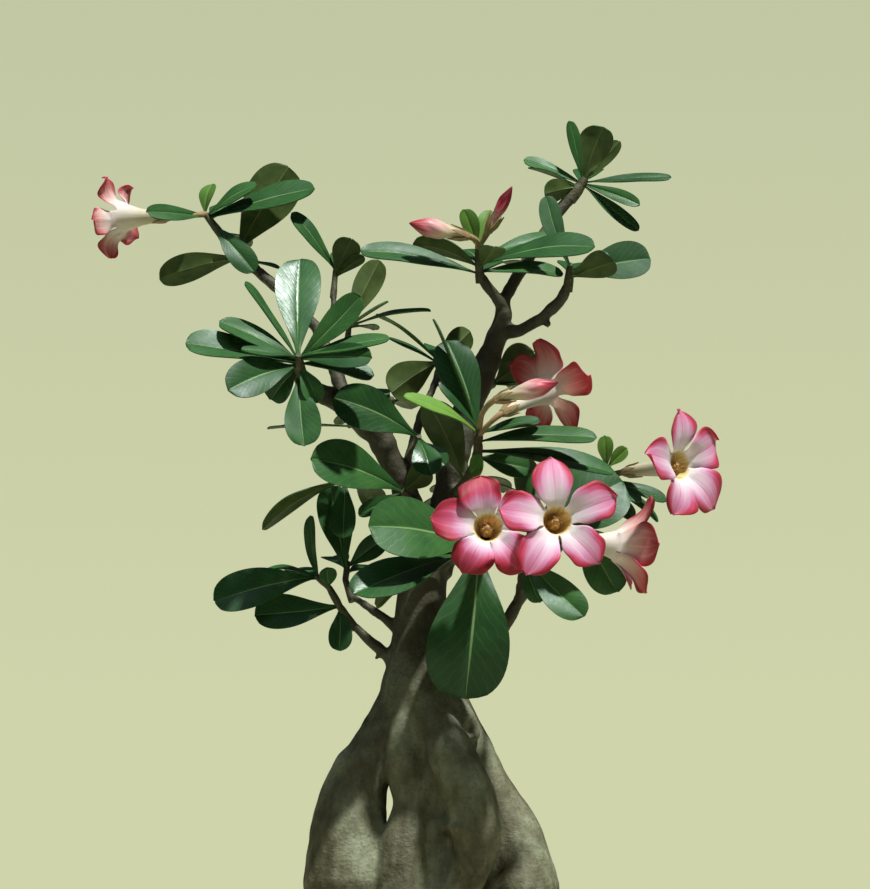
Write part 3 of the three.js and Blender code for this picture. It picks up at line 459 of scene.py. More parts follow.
def petal_face(add):
    """Petal face: velvety tissue, ochre throat, near white round it, pink, crimson margin."""
    uv, tone, aside, along = on_sheet(add)
    fibre, blur = fibres(add, uv, 24, 2, 0.06)
    outward = add("MapRange", [along, 0.4, 0.72])
    side = add("MapRange", [aside, 0.16, 0.5, 0, 0.5], interpolation_type="SMOOTHSTEP")
    reach = add("Math", [side, outward, along], operation="MULTIPLY_ADD")
    deep = add("Math", [tone, outward, reach], operation="MULTIPLY_ADD")
    soft = add("Math", [deep, blur])
    spread = add("MapRange", [soft, 0.3, 1.4])
    colour = add("ValToRGB", [spread],
                 [(0, "f4e9d2"), (0.1, "f3e6e6"), (0.24, "efd0e0"), (0.38, "e9b4d0"),
                  (0.52, "df8fb6"), (0.68, "cc567d"), (0.84, "b42a48"), (1, "91172b")])
    lines = add("MapRange", [fibre, 0.4, 0.62])
    guide = add("Mix", [lines, "f4dc9c", "c59b56"], data_type="RGBA")
    inside = add("MapRange", [along, 0.37, 0.43, 1, 0], interpolation_type="SMOOTHSTEP")
    throated = add("Mix", [inside, colour, guide], data_type="RGBA")
    crease = add("MapRange", [aside, 0, 0.03, 0.5, 0])
    outer_crease = add("Math", [crease, outward], operation="MULTIPLY")
    creased = add("Mix", [outer_crease, throated, "b5476e"], data_type="RGBA")
    return creased, fibre, 0.55


def petal_back(add):
    """Petal back and tube: cream green foot, brownish rose on the petals, red at the margin."""
    uv, tone, aside, along = on_sheet(add)
    fibre, blur = fibres(add, uv, 20, 1.6, 0.06)
    outward = add("MapRange", [along, 0.4, 0.7])
    side = add("MapRange", [aside, 0.3, 0.5, 0, 0.3])
    reach = add("Math", [side, outward, along], operation="MULTIPLY_ADD")
    toned = add("Math", [reach, tone])
    soft = add("Math", [toned, blur])
    colour = add("ValToRGB", [soft],
                 [(0, "b9b48c"), (0.16, "dccdb3"), (0.36, "efded8"), (0.48, "ecd2cd"),
                  (0.62, "e3b2ad"), (0.76, "d1898a"), (0.9, "b75a60"), (1, "a2353f")])
    return colour, fibre, 0.5


def rolled_bud(add):
    """Closed bud: cream at the foot and rose red at the twisted point, satin."""
    uv, tone, _, along = on_sheet(add)
    fibre, blur = fibres(add, uv, 14, 1.8, 0.14)
    toned = add("Math", [along, tone])
    soft = add("Math", [toned, blur])
    colour = add("ValToRGB", [soft],
                 [(0, "bdbb8b"), (0.3, "dbc6af"), (0.52, "d9a0a4"), (0.76, "c4505f"),
                  (0.93, "9c2638"), (1, "6d1a28")])
    return colour, fibre, 0.42


def old_bark(add):
    """Living adenium bark: smooth grey green skin, satin; its large patches are partly painted
    dappled light and shade, and above the swollen foot painted canopy shade darkens it to dark
    brown.
    """
    spot = add("TexCoord").outputs["Object"]
    tall, taller, ringed = (add("Mapping", {"Vector": spot, "Scale": scale}) for scale in (
        (1, 1, 1 / 1.4), (1, 1, 1 / 1.8), (1 / 1.8, 1 / 1.8, 1 / 0.6)))
    cloud = add("TexNoise", [taller, per_metre(24), 4, 0.55])
    patch = add("TexNoise", [tall, per_metre(7), 4, 0.55])
    grain = add("TexNoise", [spot, per_metre(1.7), 3, 0.6])
    wrinkle = add("TexNoise", [ringed, per_metre(6), 4, 0.6])
    # Large patches, dark olive brown to pale grey green: partly the bark's own mottling, partly
    # painted dappled sunlight and shade
    base = add("ValToRGB", [cloud],
               [(0.3, "3b3727"), (0.46, "5f5d47"), (0.58, "888f75"), (0.72, "b1baa4")])
    tint = add("ValToRGB", [patch], [(0.3, "3e3a27"), (0.5, "787d62"), (0.7, "b2bca3")])
    mixed = add("Mix", [0.3, base, tint], data_type="RGBA")
    pores = add("MapRange", [grain, 0.54, 0.66, 0, 0.4])
    pitted = add("Mix", [pores, mixed, "4d4837"], data_type="RGBA")
    # Painted shade: from 0.2 m up the bark is mixed towards dark brown, standing in for the
    # canopy's shade on the neck and branches
    height = add("SeparateXYZ", [spot]).outputs["Z"]
    canopy_shade = add("MapRange", [height, 0.2, 0.27, 0, 0.78])
    shade_darkened = add("Mix", [canopy_shade, pitted, "2c291c"], data_type="RGBA")
    rough = add("MapRange", [patch, 0, 1, 0.48, 0.78])
    relief = add("Math", [patch, grain])
    wrinkled = add("Math", [wrinkle, 0.8, relief], operation="MULTIPLY_ADD")
    return shade_darkened, wrinkled, rough


def fired_clay(add):
    """Unglazed fired clay: matt orange brown, pale mineral bloom and fine throwing marks."""
    spot = add("TexCoord").outputs["Object"]
    flat, ringed = (add("Mapping", {"Vector": spot, "Scale": scale}) for scale in (
        (1, 1, 1 / 0.6), (1 / 60, 1 / 60, 1)))
    cloud = add("TexNoise", [spot, per_metre(45), 4, 0.6])
    grain = add("TexNoise", [spot, per_metre(1.2), 3, 0.6])
    bloomed = add("TexNoise", [flat, per_metre(28), 5, 0.65])
    rings = add("TexNoise", [ringed, per_metre(3.5), 2, 0.5])
    clay = add("ValToRGB", [cloud], [(0.3, "9c5638"), (0.5, "b0674a"), (0.72, "bd7a5c")])
    crust = add("MapRange", [bloomed, 0.56, 0.76, 0, 0.5])
    pale = add("Mix", [crust, clay, "cdb8a2"], data_type="RGBA")
    return pale, add("Math", [rings, grain]), 0.88


def washed_gravel(add):
    """Washed gravel mixed into the soil: small grey and buff stones, each of its own tone, matt."""
    tone = add("Attribute", attribute_name="tone").outputs["Fac"]
    spot = add("TexCoord").outputs["Object"]
    speck = add("TexNoise", [spot, per_metre(0.8), 3, 0.55])
    small = add("MapRange", [speck, 0, 1, -0.12, 0.12])
    both = add("Math", [tone, small])
    colour = add("ValToRGB", [both],
                 [(0, "54493c"), (0.35, "7d7263"), (0.7, "a39885"), (1, "c9bfa9")])
    return colour, speck, 0.8


def mottled(size, detail, noise_roughness, roughness, *stops):
    """A pattern of one mottle: its size in millimetres, its noise, roughness and colours."""
    def pattern(add):
        spot = add("TexCoord").outputs["Object"]
        mottle = add("TexNoise", [spot, per_metre(size), detail, noise_roughness])
        return add("ValToRGB", [mottle], stops), mottle, roughness
    return pattern


THIN_TISSUE = {"Subsurface_Weight": 0.5, "Subsurface_Scale": 0.003,
               "Subsurface_Radius": (1.0, 0.55, 0.55)}
# Each material: name, pattern, dents' depth in millimetres and strength, IOR, other constants
LEAF_UPPER = material("living_leaf_waxy_upper_side", leaf_upper, 0.5, 0.5, 1.5,
                      Specular_IOR_Level=0.38, Specular_Tint="e4f2f4")
LEAF_UNDER = material("living_leaf_matt_underside", leaf_under, 0.3, 0.5, 1.42)
YOUNG_BARK = material("young_shoot_bark", young_bark, 0.6, 0.6, 1.45)
# Stalks and sepals: thin fuzzy skin, buff green flushed with rose, matt
STALK = material("flower_stalk_skin", mottled(
    3, 4, 0.55, 0.6, (0.25, "7f7048"), (0.5, "98835a"), (0.75, "ab8068")), 0.3, 0.5, 1.4,
    Sheen_Weight=0.2)
PETAL = material("petal_tissue_face", petal_face, 0.3, 0.5, 1.4, Sheen_Weight=0.12, **THIN_TISSUE)
PETAL_BACK = material("petal_tissue_back", petal_back, 0.3, 0.5, 1.4, **THIN_TISSUE)
BUD = material("rolled_bud_tissue", rolled_bud, 0.25, 0.4, 1.42)
# Anther cone: five velvety stamens that close the throat, tan with brown streaks, matt
STAMEN = material("anther_cone_tissue", mottled(
    1.2, 3, 0.6, 0.65, (0.3, "8c6834"), (0.5, "a88244"), (0.7, "c2a063")), 0.3, 0.6, 1.4,
    Sheen_Weight=0.3)
BARK = material("living_smooth_bark", old_bark, 0.8, 0.6, 1.45)
TERRACOTTA = material("unglazed_terracotta", fired_clay, 0.5, 0.6, 1.5)
# Moist potting mix: crumbly, dark brown with paler fibres, matt
SOIL = material("moist_potting_mix", mottled(
    4, 5, 0.7, 0.95, (0.3, "1f1611"), (0.5, "3a2a1e"), (0.75, "5c4632")), 2, 0.8, 1.4)
GRIT = material("washed_stone_grit", washed_gravel, 0.4, 0.6, 1.5)
# Studio floor: pale matt paint, faintly clouded
FLOOR = material("matt_studio_floor", mottled(
    500, 2, 0.55, 0.85, (0.3, "a3a68a"), (0.7, "a8ab8f")), 0, 0, 1.5)


# Making and shaping meshes
def smooth(value):
    """An eased step from 0 to 1."""
    value = min(max(value, 0.0), 1.0)
    return value * value * (3 - 2 * value)


def around(radius, angle, height=0.0):
    """A point at a radius, an angle and a height round the Z axis."""
    return Vector((radius * cos(angle), radius * sin(angle), height))


def along_outline(outline, share):
    """The outline's half-width at a share of the length, on a smooth curve through its points."""
    last = len(outline) - 1
    for i in range(last):
        (start, low), (end, high) = outline[i], outline[i + 1]
        if share <= end:
            part = (share - start) / (end - start)
            before, after = outline[max(i - 1, 0)], outline[min(i + 2, last)]
            leaving = (high - before[1]) / (end - before[0]) * (end - start) - high + low
            arriving = (after[1] - low) / (after[0] - start) * (end - start) - high + low
            bulge = part * (1 - part) * (leaving * (1 - part) - arriving * part)
            return max(low + (high - low) * part + bulge, 0.0)
    return outline[-1][1]


def deselect():
    bpy.ops.object.select_all(action="DESELECT")


def choose(piece):
    """Select one piece alone and make it active."""
    deselect()
    piece.select_set(True)
    bpy.context.view_layer.objects.active = piece


def edit(piece, **steps):
    """Run mesh operators in turn on all of a piece, each with its settings."""
    choose(piece)
    bpy.ops.object.mode_set(mode="EDIT")
    for name, settings in steps.items():
        bpy.ops.mesh.select_all(action="SELECT")
        getattr(bpy.ops.mesh, name)(**settings)
    bpy.ops.object.mode_set(mode="OBJECT")


def apply_modifier(piece, kind, name, **settings):
    """Add one modifier and apply it."""
    choose(piece)
    assign(piece.modifiers.new(name, kind), settings)
    bpy.ops.object.modifier_apply(modifier=name)


def placed(name, data):
    """A new object in the scene."""
    thing = bpy.data.objects.new(name, data)
    bpy.context.collection.objects.link(thing)
    return thing


def from_curve(name, data, material):
    """A mesh piece made of a curve."""
    choose(placed(name, data))
    bpy.ops.object.convert(target="MESH")
    piece = bpy.context.object
    piece.data.materials.append(material)
    return piece


def join(pieces, name):
    """Join the pieces into one of the name given."""
    choose(pieces[0])
    for piece in pieces[1:]:
        piece.select_set(True)
    bpy.ops.object.join()
    whole = bpy.context.view_layer.objects.active
    whole.name = whole.data.name = name
    return whole


def sew(piece, gap=SEAM_GAP):
    """Merge the points that meet at a piece's seams, poles and tips."""
    edit(piece, remove_doubles={"threshold": gap * MM})


def smooth_shaded(piece, angle=None):
    """Shade a piece smooth, up to an angle in degrees if one is given."""
    choose(piece)
    if angle is None:
        bpy.ops.object.shade_smooth()
    else:
        bpy.ops.object.shade_smooth_by_angle(angle=radians(angle))


def settle(piece, node):
    """Hang a finished piece on the plant's body and hide the part of the node it stands for."""
    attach(piece, "root")
    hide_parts(node)


def sheet_of(grid, place, name, material, tone=0.0, youth=0.0, shine=0.0):
    """A grid primitive whose every point, -1 to 1 across and 0 to 1 along, is put in its place."""
    deselect()
    bpy.ops.mesh.primitive_grid_add(x_subdivisions=grid[0], y_subdivisions=grid[1], size=2)
    piece = bpy.context.object
    piece.name = name
    mesh = piece.data
    for vertex in mesh.vertices:
        vertex.co = place(vertex.co.x, (vertex.co.y + 1) / 2) * MM
    for label, value in (("tone", tone), ("youth", youth), ("shine", shine)):
        layer = mesh.attributes.new(label, "FLOAT", "POINT")
        layer.data.foreach_set("value", [value] * len(mesh.vertices))
    mesh.materials.append(material)
    return piece


def closed(piece):
    """A sheet that is rolled up, with its seam sewn and its open ends filled."""
    sew(piece)
    edit(piece, fill_holes={"sides": 0}, normals_make_consistent={"inside": False})
    return piece


def thicken(piece, thickness, back=None):
    """Give a sheet its thickness, with its back in a material of its own if one is given."""
    if back:
        piece.data.materials.append(back)
    apply_modifier(piece, "SOLIDIFY", "thickness", thickness=thickness * MM,
                   material_offset=1 if back else 0)


def tubes(runs, name, material, detail, bend):
    """Round tapering stems through stations of x, y, z and radius, as one capped mesh."""
    data = bpy.data.curves.new(name, "CURVE")
    data.dimensions = "3D"
    data.bevel_depth = MM
    data.bevel_resolution = detail
    data.resolution_u = bend
    data.use_fill_caps = True
    for run in runs:
        spline = data.splines.new("BEZIER")
        spline.bezier_points.add(len(run) - 1)
        for point, (x, y, z, radius) in zip(spline.bezier_points, run):
            point.co = Vector((x, y, z)) * MM
            point.radius = radius
            point.handle_left_type = point.handle_right_type = "AUTO"
    return from_curve(name, data, material)


def knuckled(run, spacing=3.2, rough=0.09, stray=0.06):
    """The same stem with the uneven, ringed thickness that old leaf scars leave on it."""
    stations = []
    for start, end in zip(run, run[1:]):
        count = max(1, round((Vector(end[:3]) - Vector(start[:3])).length / spacing))
        for i in range(count):
            *spot, radius = (low + (high - low) * (i / count) for low, high in zip(start, end))
            knock = 1 + uniform(-rough, rough)
            spot = [value + uniform(-stray, stray) * radius for value in spot]
            stations.append((*spot, radius * knock))
    return [tuple(run[0])] + stations[1:] + [tuple(run[-1])]


def below(stem, low):
    """The point a given way back from the tip of a run of stations."""
    points = [Vector(station[:3]) for station in reversed(stem)]
    for start, end in zip(points, points[1:]):
        span = (end - start).length
        if low <= span:
            return start.lerp(end, low / span)
        low -= span
    return points[-1]


def standing(origin, axis, turn=0.0):
    """A frame at the origin given whose Z runs along the axis and whose X leans upwards, turned."""
    up = Vector((0, 0, 1))
    across = (up - axis * up.dot(axis)).normalized()
    across = Matrix.Rotation(-radians(turn), 3, axis) @ across
    spin = Matrix((across, axis.cross(across), axis)).transposed().to_4x4()
    return Matrix.Translation(origin) @ spin


# Leaves and shoots
def make_leaf(entry, stem):
    """One obovate leaf: folded along its midrib, arched, its margin a little wavy."""
    root = below(stem, entry.low)
    along = Vector(stem[-1][:3]) + Vector((entry.dx, entry.dy, entry.dz)) - root
    chord = along.length
    along.normalize()
    face = Vector(FACES[entry.face])
    normal = (face - along * face.dot(along)).normalized()
    side = along.cross(normal)
    bend = radians(entry.arch)
    radius = chord / (2 * sin(bend / 2))
    wide = entry.wide
    twist = radians(uniform(-9, 9))
    slope = tan(radians(uniform(9, 17)))
    phase = uniform(0, 6)
    sway = uniform(-0.035, 0.035) * chord
    ripple = uniform(0.012, 0.034) * wide
    lopsided = uniform(-0.08, 0.08)
    recurve = uniform(-0.02, 0.05) * chord

    def place(across, rise):
        # More rows towards the round tip, and more columns near the midrib
        share = 1 - (1 - rise) ** 1.4
        spread = copysign(abs(across) ** 1.3, across)
        angle = bend * (share - 0.5)
        up = normal * cos(angle) + along * sin(angle)
        rib = root + along * radius * (sin(angle) + sin(bend / 2))
        rib += normal * radius * (cos(angle) - cos(bend / 2))
        rib += side * sway * sin(pi * share)
        rib -= normal * recurve * smooth((share - 0.6) / 0.4) * share
        half = wide / 2 * along_outline(LEAF_OUTLINE, share) * (1 + lopsided * spread)
        out = half * spread
        turn = twist * share
        lift = abs(out) * slope * (1 - 0.35 * abs(spread))
        lift += ripple * abs(spread) ** 2 * sin(9 * share + phase + 2 * across)
        groove = 0.35 * exp(-(spread / 0.09) ** 2) * (1 - 0.6 * share)
        return rib + (side * cos(turn) + up * sin(turn)) * out + up * (lift - groove)

    tone = uniform(0.2, 0.8)
    return sheet_of(LEAF_GRID, place, "leaf", LEAF_UPPER, tone, entry.youth, entry.shine)


def make_stalk(foot, axis, start):
    """The stalk of a bloom or bud, from its shoot to its foot."""
    bent = (foot - axis * 7).lerp(start, 0.35)
    run = [(*start, STALK_RADIUS * 1.25), (*bent, STALK_RADIUS),
           (*(foot - axis * 2.4), STALK_RADIUS * 1.3), (*(foot - axis * 0.4), 2.5)]
    return tubes([run], "stalk", STALK, 2, 6)


def make_cup(foot, axis):
    """The five pointed sepals round a bloom's or bud's foot."""
    stand = standing(foot, axis)
    sepals = []
    for i in range(PETAL_COUNT):
        out = around(1, FULL_TURN * i / PETAL_COUNT)
        tangent = Vector((-out.y, out.x, 0))

        def place(across, share):
            half = 1.9 * (1 - share ** 1.6) * (0.75 + 0.5 * share)
            radius = 1.9 + 1.5 * smooth(share * 2.2) + 0.9 * share ** 2
            point = out * (radius - 0.35 * abs(across) * half / 1.9) + tangent * across * half
            point.z = -2.6 + share * 10.2
            return stand @ point

        sepals.append(sheet_of(SEPAL_GRID, place, "sepal", STALK))
    cup = join(sepals, "cup")
    thicken(cup, LEAF_THICKNESS)
    return cup


def foot_and_axis(entry):
    """Where a bloom or bud starts, and which way it points."""
    if isinstance(entry, bloom):
        axis = Vector(entry.axis).normalized()
        return Vector(entry.mouth) - axis * entry.tube, axis
    foot = Vector(entry.foot)
    return foot, (Vector(entry.point) - foot).normalized()


def make_shoot(entry):
    """A shoot's leaves, young stem, stalks and sepals as one piece."""
    stem = entry.stem
    foliage = join([make_leaf(leaf(*row), stem) for row in entry.leaves], "foliage")
    thicken(foliage, LEAF_THICKNESS, LEAF_UNDER)
    first, second = (Vector(station[:3]) for station in stem[:2])
    sunk = first - (second - first).normalized() * 3.5
    run = [(*sunk, stem[0][3])] + knuckled(stem, 2.6, 0.1)
    parts = [foliage, tubes([run], "young_stem", YOUNG_BARK, 3, 3)]
    for borne in BLOOMS + BUDS:
        if borne.bearer == entry.name:
            foot, axis = foot_and_axis(borne)
            parts += [make_stalk(foot, axis, below(stem, borne.low)), make_cup(foot, axis)]
    piece = join(parts, entry.name + "_leaves")
    sew(piece, SAME_POINT)
    smooth_shaded(piece, 50)
    settle(piece, entry.name)


# Blooms and buds
def make_corolla(entry, stand):
    """Five sectors that share a funnel tube and part into broad overlapping petals."""
    tube, reach, lean = entry.tube, entry.reach, radians(entry.lean)
    sector = pi / PETAL_COUNT
    rim = THROAT_RADIUS * sin(sector)
    sectors = []
    for i in range(PETAL_COUNT):
        middle = FULL_TURN * i / PETAL_COUNT
        out = around(1, middle)
        tangent = Vector((-out.y, out.x, 0))
        length = reach * 0.975 * (1 + 0.05 * sin(3 * i + entry.turn))
        phase = uniform(0, 6)
        droop = uniform(-1.5, 2.2)
        breadth = reach * entry.breadth / 2 * uniform(0.94, 1.04)
        crease = uniform(1.0, 2.4)
        lopsided = uniform(-0.1, 0.16)
        curl = uniform(0.6, 1.5)
        sway = uniform(-1.6, 1.6)

        def place(across, share):
            if share <= TUBE_SHARE:
                part = share / TUBE_SHARE
                radius = TUBE_BASE_RADIUS + (THROAT_RADIUS - TUBE_BASE_RADIUS) * part ** 2
                return stand @ around(radius, middle + across * sector, part * tube)
            part = (share - TUBE_SHARE) / (1 - TUBE_SHARE)
            blend = smooth(part / 0.16)
            half = breadth * along_outline(PETAL_OUTLINE, part)
            half *= 1 + lopsided * across * blend + 0.035 * sin(13 * part + phase) * blend
            half = rim + (half - rim) * blend
            tip_fall = 0.5 * abs(across) * smooth((part - 0.6) / 0.4) * reach * 0.05
            ahead = THROAT_RADIUS + (length - THROAT_RADIUS) * part ** 1.1 - tip_fall
            back = THROAT_RADIUS * (1 - cos(across * sector)) * (1 - blend)
            rise = 4.6 * sin(pi * min(part * 0.9 + 0.04, 1.0)) ** 0.8
            level = tube + (rise - droop * part ** 2) * smooth(part / 0.14)
            level += across * 1.1 * blend
            level -= crease * (1 - abs(across)) ** 1.4 * blend * (1 - 0.65 * part)
            level += curl * abs(across) ** 2.5 * sin(7 * part + phase + 2 * across) * blend
            run, over = ahead - back - THROAT_RADIUS, level - tube
            spread = THROAT_RADIUS + run * cos(lean) - over * sin(lean)
            point = out * spread + tangent * (across * half + sway * part ** 2)
            point.z = tube + run * sin(lean) + over * cos(lean)
            return stand @ point

        tone = uniform(-0.04, 0.05) + entry.blush
        sectors.append(sheet_of(PETAL_GRID, place, "petal", PETAL, tone))
        edit(sectors[-1], flip_normals={})
    corolla = join(sectors, "corolla")
    sew(corolla)
    thicken(corolla, PETAL_THICKNESS, PETAL_BACK)
    return corolla


def make_anthers(tube, stand):
    """The cone that the five anthers form in the throat, and their twisted threads."""
    def cone(across, share):
        angle = pi * across
        lobes = 1 + 0.16 * cos(PETAL_COUNT * angle) * smooth(share * 3)
        radius = lobes * (3.7 * (1 - share) ** 0.6 + 0.05)
        return stand @ around(radius, angle, tube * (0.74 + 0.24 * share))

    threads = []
    for i in range(PETAL_COUNT):
        run = []
        for step in range(6):
            part = step / 5
            swing = FULL_TURN * (i + 0.5) / PETAL_COUNT + 1.2 * part
            point = stand @ around(0.8 + 2.0 * part ** 1.5, swing, tube * (0.86 + 0.12 * part))
            run.append((*point, 0.5 - 0.3 * part))
        threads.append(run)
    return [closed(sheet_of(CONE_GRID, cone, "anther_cone", STAMEN)),
            tubes(threads, "threads", STAMEN, 1, 3)]


def make_bloom(entry):
    """A bloom: its corolla and what shows in its throat."""
    stand = standing(*foot_and_axis(entry), entry.turn)
    parts = [make_corolla(entry, stand)] + make_anthers(entry.tube, stand)
    piece = join(parts, entry.name + "_corolla")
    smooth_shaded(piece)
    settle(piece, entry.name)


def make_bud(entry):
    """A closed bud: a spindle of five petals rolled to the right."""
    foot, axis = foot_and_axis(entry)
    length = (Vector(entry.point) - foot).length
    stand = standing(foot, axis)

    def place(across, share):
        angle = pi * across
        ridge = 0.09 * abs(sin(2.5 * (angle - 3.2 * share))) * smooth(share * 2.5)
        radius = entry.radius * along_outline(BUD_OUTLINE, share) * (0.93 + ridge)
        return stand @ around(radius, angle, share * length)

    name = entry.name + "_rolled"
    piece = closed(sheet_of(BUD_GRID, place, name, BUD, entry.blush - 0.05))
    smooth_shaded(piece)
    settle(piece, entry.name)


# Old wood
def make_wood():
    """Roots, trunk and branches grown together: fused by remeshing, then swollen and pitted."""
    runs = ROOTS + [TRUNK] + [knuckled(run) for run in BRANCHES]
    wood = tubes(runs, "old_wood", BARK, 6, 5)
    apply_modifier(wood, "REMESH", "skin", mode="VOXEL", voxel_size=WOOD_VOXEL * MM)
    apply_modifier(wood, "SMOOTH", "healed", factor=0.5, iterations=3)
    # A small hollow, taller than wide, at the front right of the trunk's foot
    hollow = Vector((17.5, -11, 226 / 2.2))
    normals = [vertex.normal.copy() for vertex in wood.data.vertices]
    for vertex, normal in zip(wood.data.vertices, normals):
        x, y, z = vertex.co / MM
        thick = smooth((300 - z) / 90)
        swell = noise.noise(Vector((x / 11, y / 11, z / 30))) * (0.25 + 1.1 * thick)
        lump = noise.noise(Vector((x / 5 + 9, y / 5, z / 8))) * (0.16 + 0.34 * thick)
        dip = 2.6 * smooth(1.25 - (Vector((x, y, z / 2.2)) - hollow).length / 3)
        vertex.co += normal * (swell + lump - dip) * MM
    smooth_shaded(wood)
    settle(wood, "wood")


# Pot and soil
def edge(radius, height, start, steps=5):
    """Points of a rounded edge round a centre, a quarter turn from the angle given."""
    angles = [radians(start + 90 * i / steps) for i in range(steps + 1)]
    return [(radius + POT_EDGE * cos(a), height + POT_EDGE * sin(a)) for a in angles]


def make_pot():
    """A thrown clay pot: tapering wall, banded rim with soft edges, drain holes in its floor."""
    band_foot = POT_HEIGHT - RIM_BAND
    shoulder = RIM_RADIUS - RIM_STEP
    inner_top = RIM_RADIUS - POT_WALL - 2
    inner_foot = FOOT_RADIUS - POT_WALL
    wall_steps = 14
    profile = [(0, 0), (FOOT_RADIUS - POT_EDGE, 0)]
    profile += edge(FOOT_RADIUS - POT_EDGE, POT_EDGE, -90)
    for i in range(1, wall_steps):
        share = i / wall_steps
        mark = 0.25 * sin(11 * share)
        radius = FOOT_RADIUS + (shoulder - FOOT_RADIUS) * share + mark
        profile.append((radius, band_foot * share + 1))
    profile.append((shoulder, band_foot - 0.6))
    profile += edge(RIM_RADIUS - POT_EDGE, band_foot + 1 + POT_EDGE, -90)
    profile += edge(RIM_RADIUS - POT_EDGE - 0.4, POT_HEIGHT - POT_EDGE, 0)
    profile += edge(inner_top + POT_EDGE, POT_HEIGHT - POT_EDGE, 90)
    profile += [(inner_foot + 3, POT_FLOOR + 3), (inner_foot, POT_FLOOR), (0, POT_FLOOR)]
    data = bpy.data.curves.new("clay_pot", "CURVE")
    data.dimensions = "3D"
    line = data.splines.new("POLY")
    line.points.add(len(profile) - 1)
    for point, (radius, height) in zip(line.points, profile):
        point.co = (radius * MM, 0, height * MM, 1)
    pot = from_curve("clay_pot", data, TERRACOTTA)
    edit(pot, spin={"steps": POT_SIDES, "angle": FULL_TURN, "axis": (0, 0, 1)},
         remove_doubles={"threshold": 2 * SEAM_GAP * MM}, normals_make_consistent={"inside": False})
    for i in range(DRAIN_HOLES):
        deselect()
        bpy.ops.mesh.primitive_cylinder_add(
            vertices=32, radius=DRAIN_RADIUS * MM, depth=POT_FLOOR * 3 * MM,
            location=around(DRAIN_CIRCLE, FULL_TURN * (i + 0.5) / DRAIN_HOLES) * MM)
        drill = bpy.context.object
        apply_modifier(pot, "BOOLEAN", "drain", operation="DIFFERENCE", object=drill,
                       solver="EXACT")
        bpy.data.objects.remove(drill)
    sew(pot, SAME_POINT)
    smooth_shaded(pot, 35)
    settle(pot, "pot")


def soil_level(x, y):
    """Height of the mounded, crumbly soil surface at a place."""
    share = hypot(x, y) / (RIM_RADIUS - POT_WALL - 4)
    mound = SOIL_HEIGHT + SOIL_CROWN * (1 - smooth(share)) * 0.9
    crumbs = noise.noise(Vector((x / 9, y / 9, 2))) * 1.1
    crumbs += noise.noise(Vector((x / 2.6, y / 2.6, 5))) * 0.8
    return mound + crumbs - 0.8


def make_soil():
    """The soil's crumbly top, closed down inside the pot."""
    def place(across, share):
        angle = pi * across
        if share > SOIL_TOP_SHARE:
            depth = (share - SOIL_TOP_SHARE) / (1 - SOIL_TOP_SHARE)
            drop = (SOIL_HEIGHT - POT_FLOOR - 4) * depth
            return around(SOIL_RADIUS - 22 * depth, angle, SOIL_HEIGHT - 2 - drop)
        point = around(SOIL_RADIUS * share / SOIL_TOP_SHARE, angle)
        point.z = soil_level(point.x, point.y)
        return point

    soil = closed(sheet_of(SOIL_GRID, place, "potting_mix", SOIL))
    smooth_shaded(soil)
    settle(soil, "soil")


def make_grit():
    """The loose stones in the soil, each a knocked copy of one small ball."""
    deselect()
    bpy.ops.mesh.primitive_ico_sphere_add(subdivisions=1, radius=1)
    model = bpy.context.object
    model.data.materials.append(GRIT)
    model.data.attributes.new("tone", "FLOAT", "POINT")
    corners = [vertex.co.copy() for vertex in model.data.vertices]
    stones = []
    for _ in range(STONES):
        angle = uniform(0, FULL_TURN)
        radius = (SOIL_RADIUS - 2) * sqrt(random.random())
        size = uniform(0.7, 2.4) ** 1.2
        squash = Vector([uniform(0.7, 1.3), uniform(0.7, 1.3),
                         uniform(0.5, 0.8)]) * size
        turn = Matrix.Rotation(uniform(0, 6), 3, "Z")
        turn = turn @ Matrix.Rotation(uniform(-0.5, 0.5), 3, "X")
        x, y = radius * cos(angle), radius * sin(angle)
        centre = Vector((x, y, soil_level(x, y) + size * 0.15))
        stone = placed("stone", model.data.copy())
        tones = [random.random()] * len(corners)
        stone.data.attributes["tone"].data.foreach_set("value", tones)
        for vertex, corner in zip(stone.data.vertices, corners):
            knock = 1 + uniform(-0.18, 0.18)
            vertex.co = (centre + turn @ (corner * knock * squash)) * MM
        stones.append(stone)
    bpy.data.objects.remove(model)
    settle(join(stones, "stone_grit"), "soil")


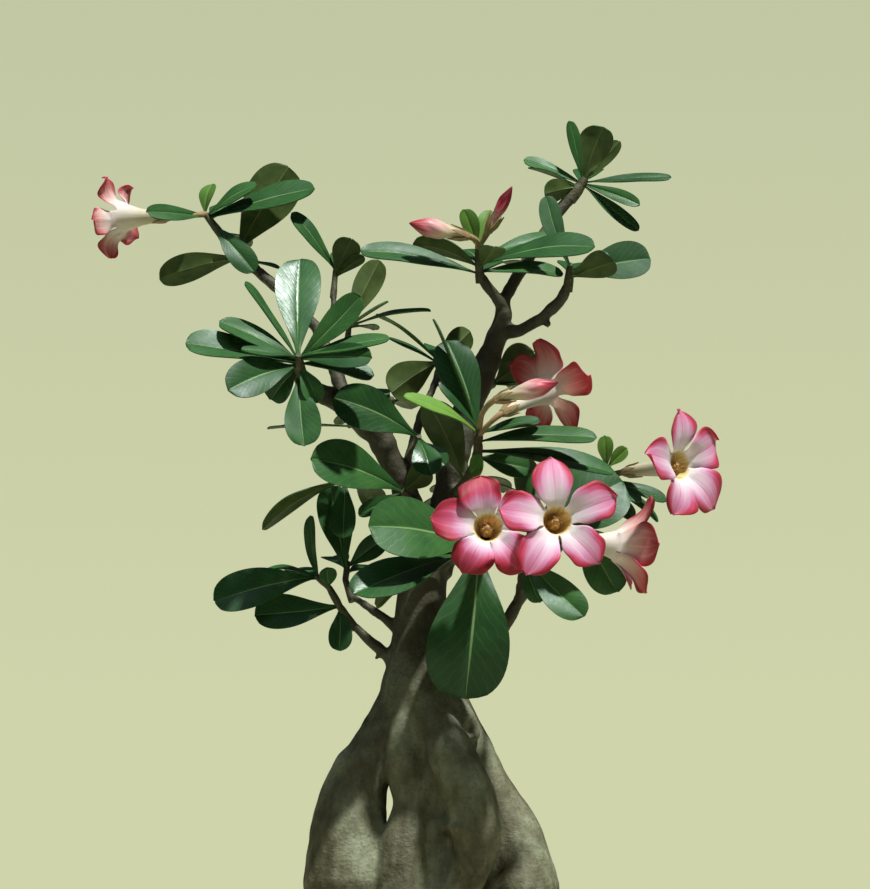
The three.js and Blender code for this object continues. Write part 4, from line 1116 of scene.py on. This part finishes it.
# Studio
def lamp(name, kind, energy, colour, way, spot=(0, 0, 0), **settings):
    """A light at a place that shines along a way."""
    data = bpy.data.lights.new(name, kind)
    data.energy, data.color = energy, colour
    assign(data, settings)
    light = placed(name, data)
    light.location = spot
    light.rotation_euler = Vector(way).to_track_quat("-Z", "Y").to_euler()


def make_studio():
    """Pale floor, a sun from high in front, cool soft light and a plain pale backdrop."""
    deselect()
    bpy.ops.mesh.primitive_circle_add(vertices=128, radius=1.6, fill_type="NGON",
                                      location=(0, 0, -0.0005))
    floor = bpy.context.object
    floor.name = "studio_floor"
    bpy.ops.object.transform_apply(location=True)
    floor.data.materials.append(FLOOR)
    lamp("key", "SUN", 5.1, (1.0, 0.975, 0.92), KEY_WAY, angle=radians(2.5))
    lamp("soft_box", "AREA", 7, (0.8, 0.92, 1.0), SOFT_WAY, (-0.7, -0.8, 2.5), shape="DISK",
         size=1.6)
    world = bpy.data.worlds.new("studio")
    world.use_nodes = True
    world.node_tree.nodes.clear()
    add = partial(add_node, world.node_tree)
    height = add("SeparateXYZ", [add("TexCoord").outputs["Generated"]]).outputs["Z"]
    lift = add("MapRange", [height, -0.3, 1])
    sky = add("ValToRGB", [lift],
              [(0, "8e8f70"), (0.23, "b9bf9b"), (0.6, "a9c3cf"), (1, "cfe2f2")])
    paper = add("ValToRGB", [lift], [(0.2, "d0d4ab"), (0.28, "c1c7a3")])
    light = add("Background", [sky, 0.08])
    backdrop = add("Background", [paper, 1])
    seen = add("LightPath").outputs["Is Camera Ray"]
    add("OutputWorld", {"Surface": add("MixShader", [seen, light, backdrop])})
    bpy.context.scene.world = world


def make_camera():
    """Level camera before the plant, framed as the photograph: half a millimetre a pixel."""
    data = bpy.data.cameras.new("camera")
    data.sensor_width = SENSOR
    data.lens = SENSOR * VIEW_DISTANCE / (PIXEL * MM * PICTURE_HEIGHT)
    camera = placed("camera", data)
    camera.location = (0, -VIEW_DISTANCE, VIEW_MIDDLE * MM)
    camera.rotation_euler = (radians(90), 0, 0)
    bpy.context.scene.camera = camera


make_camera()
make_studio()
make_pot()
make_soil()
make_grit()
make_wood()
for make, entries in ((make_shoot, SHOOTS), (make_bloom, BLOOMS), (make_bud, BUDS)):
    for entry in entries:
        make(entry)

bpy.context.scene.view_settings.view_transform = "Standard"
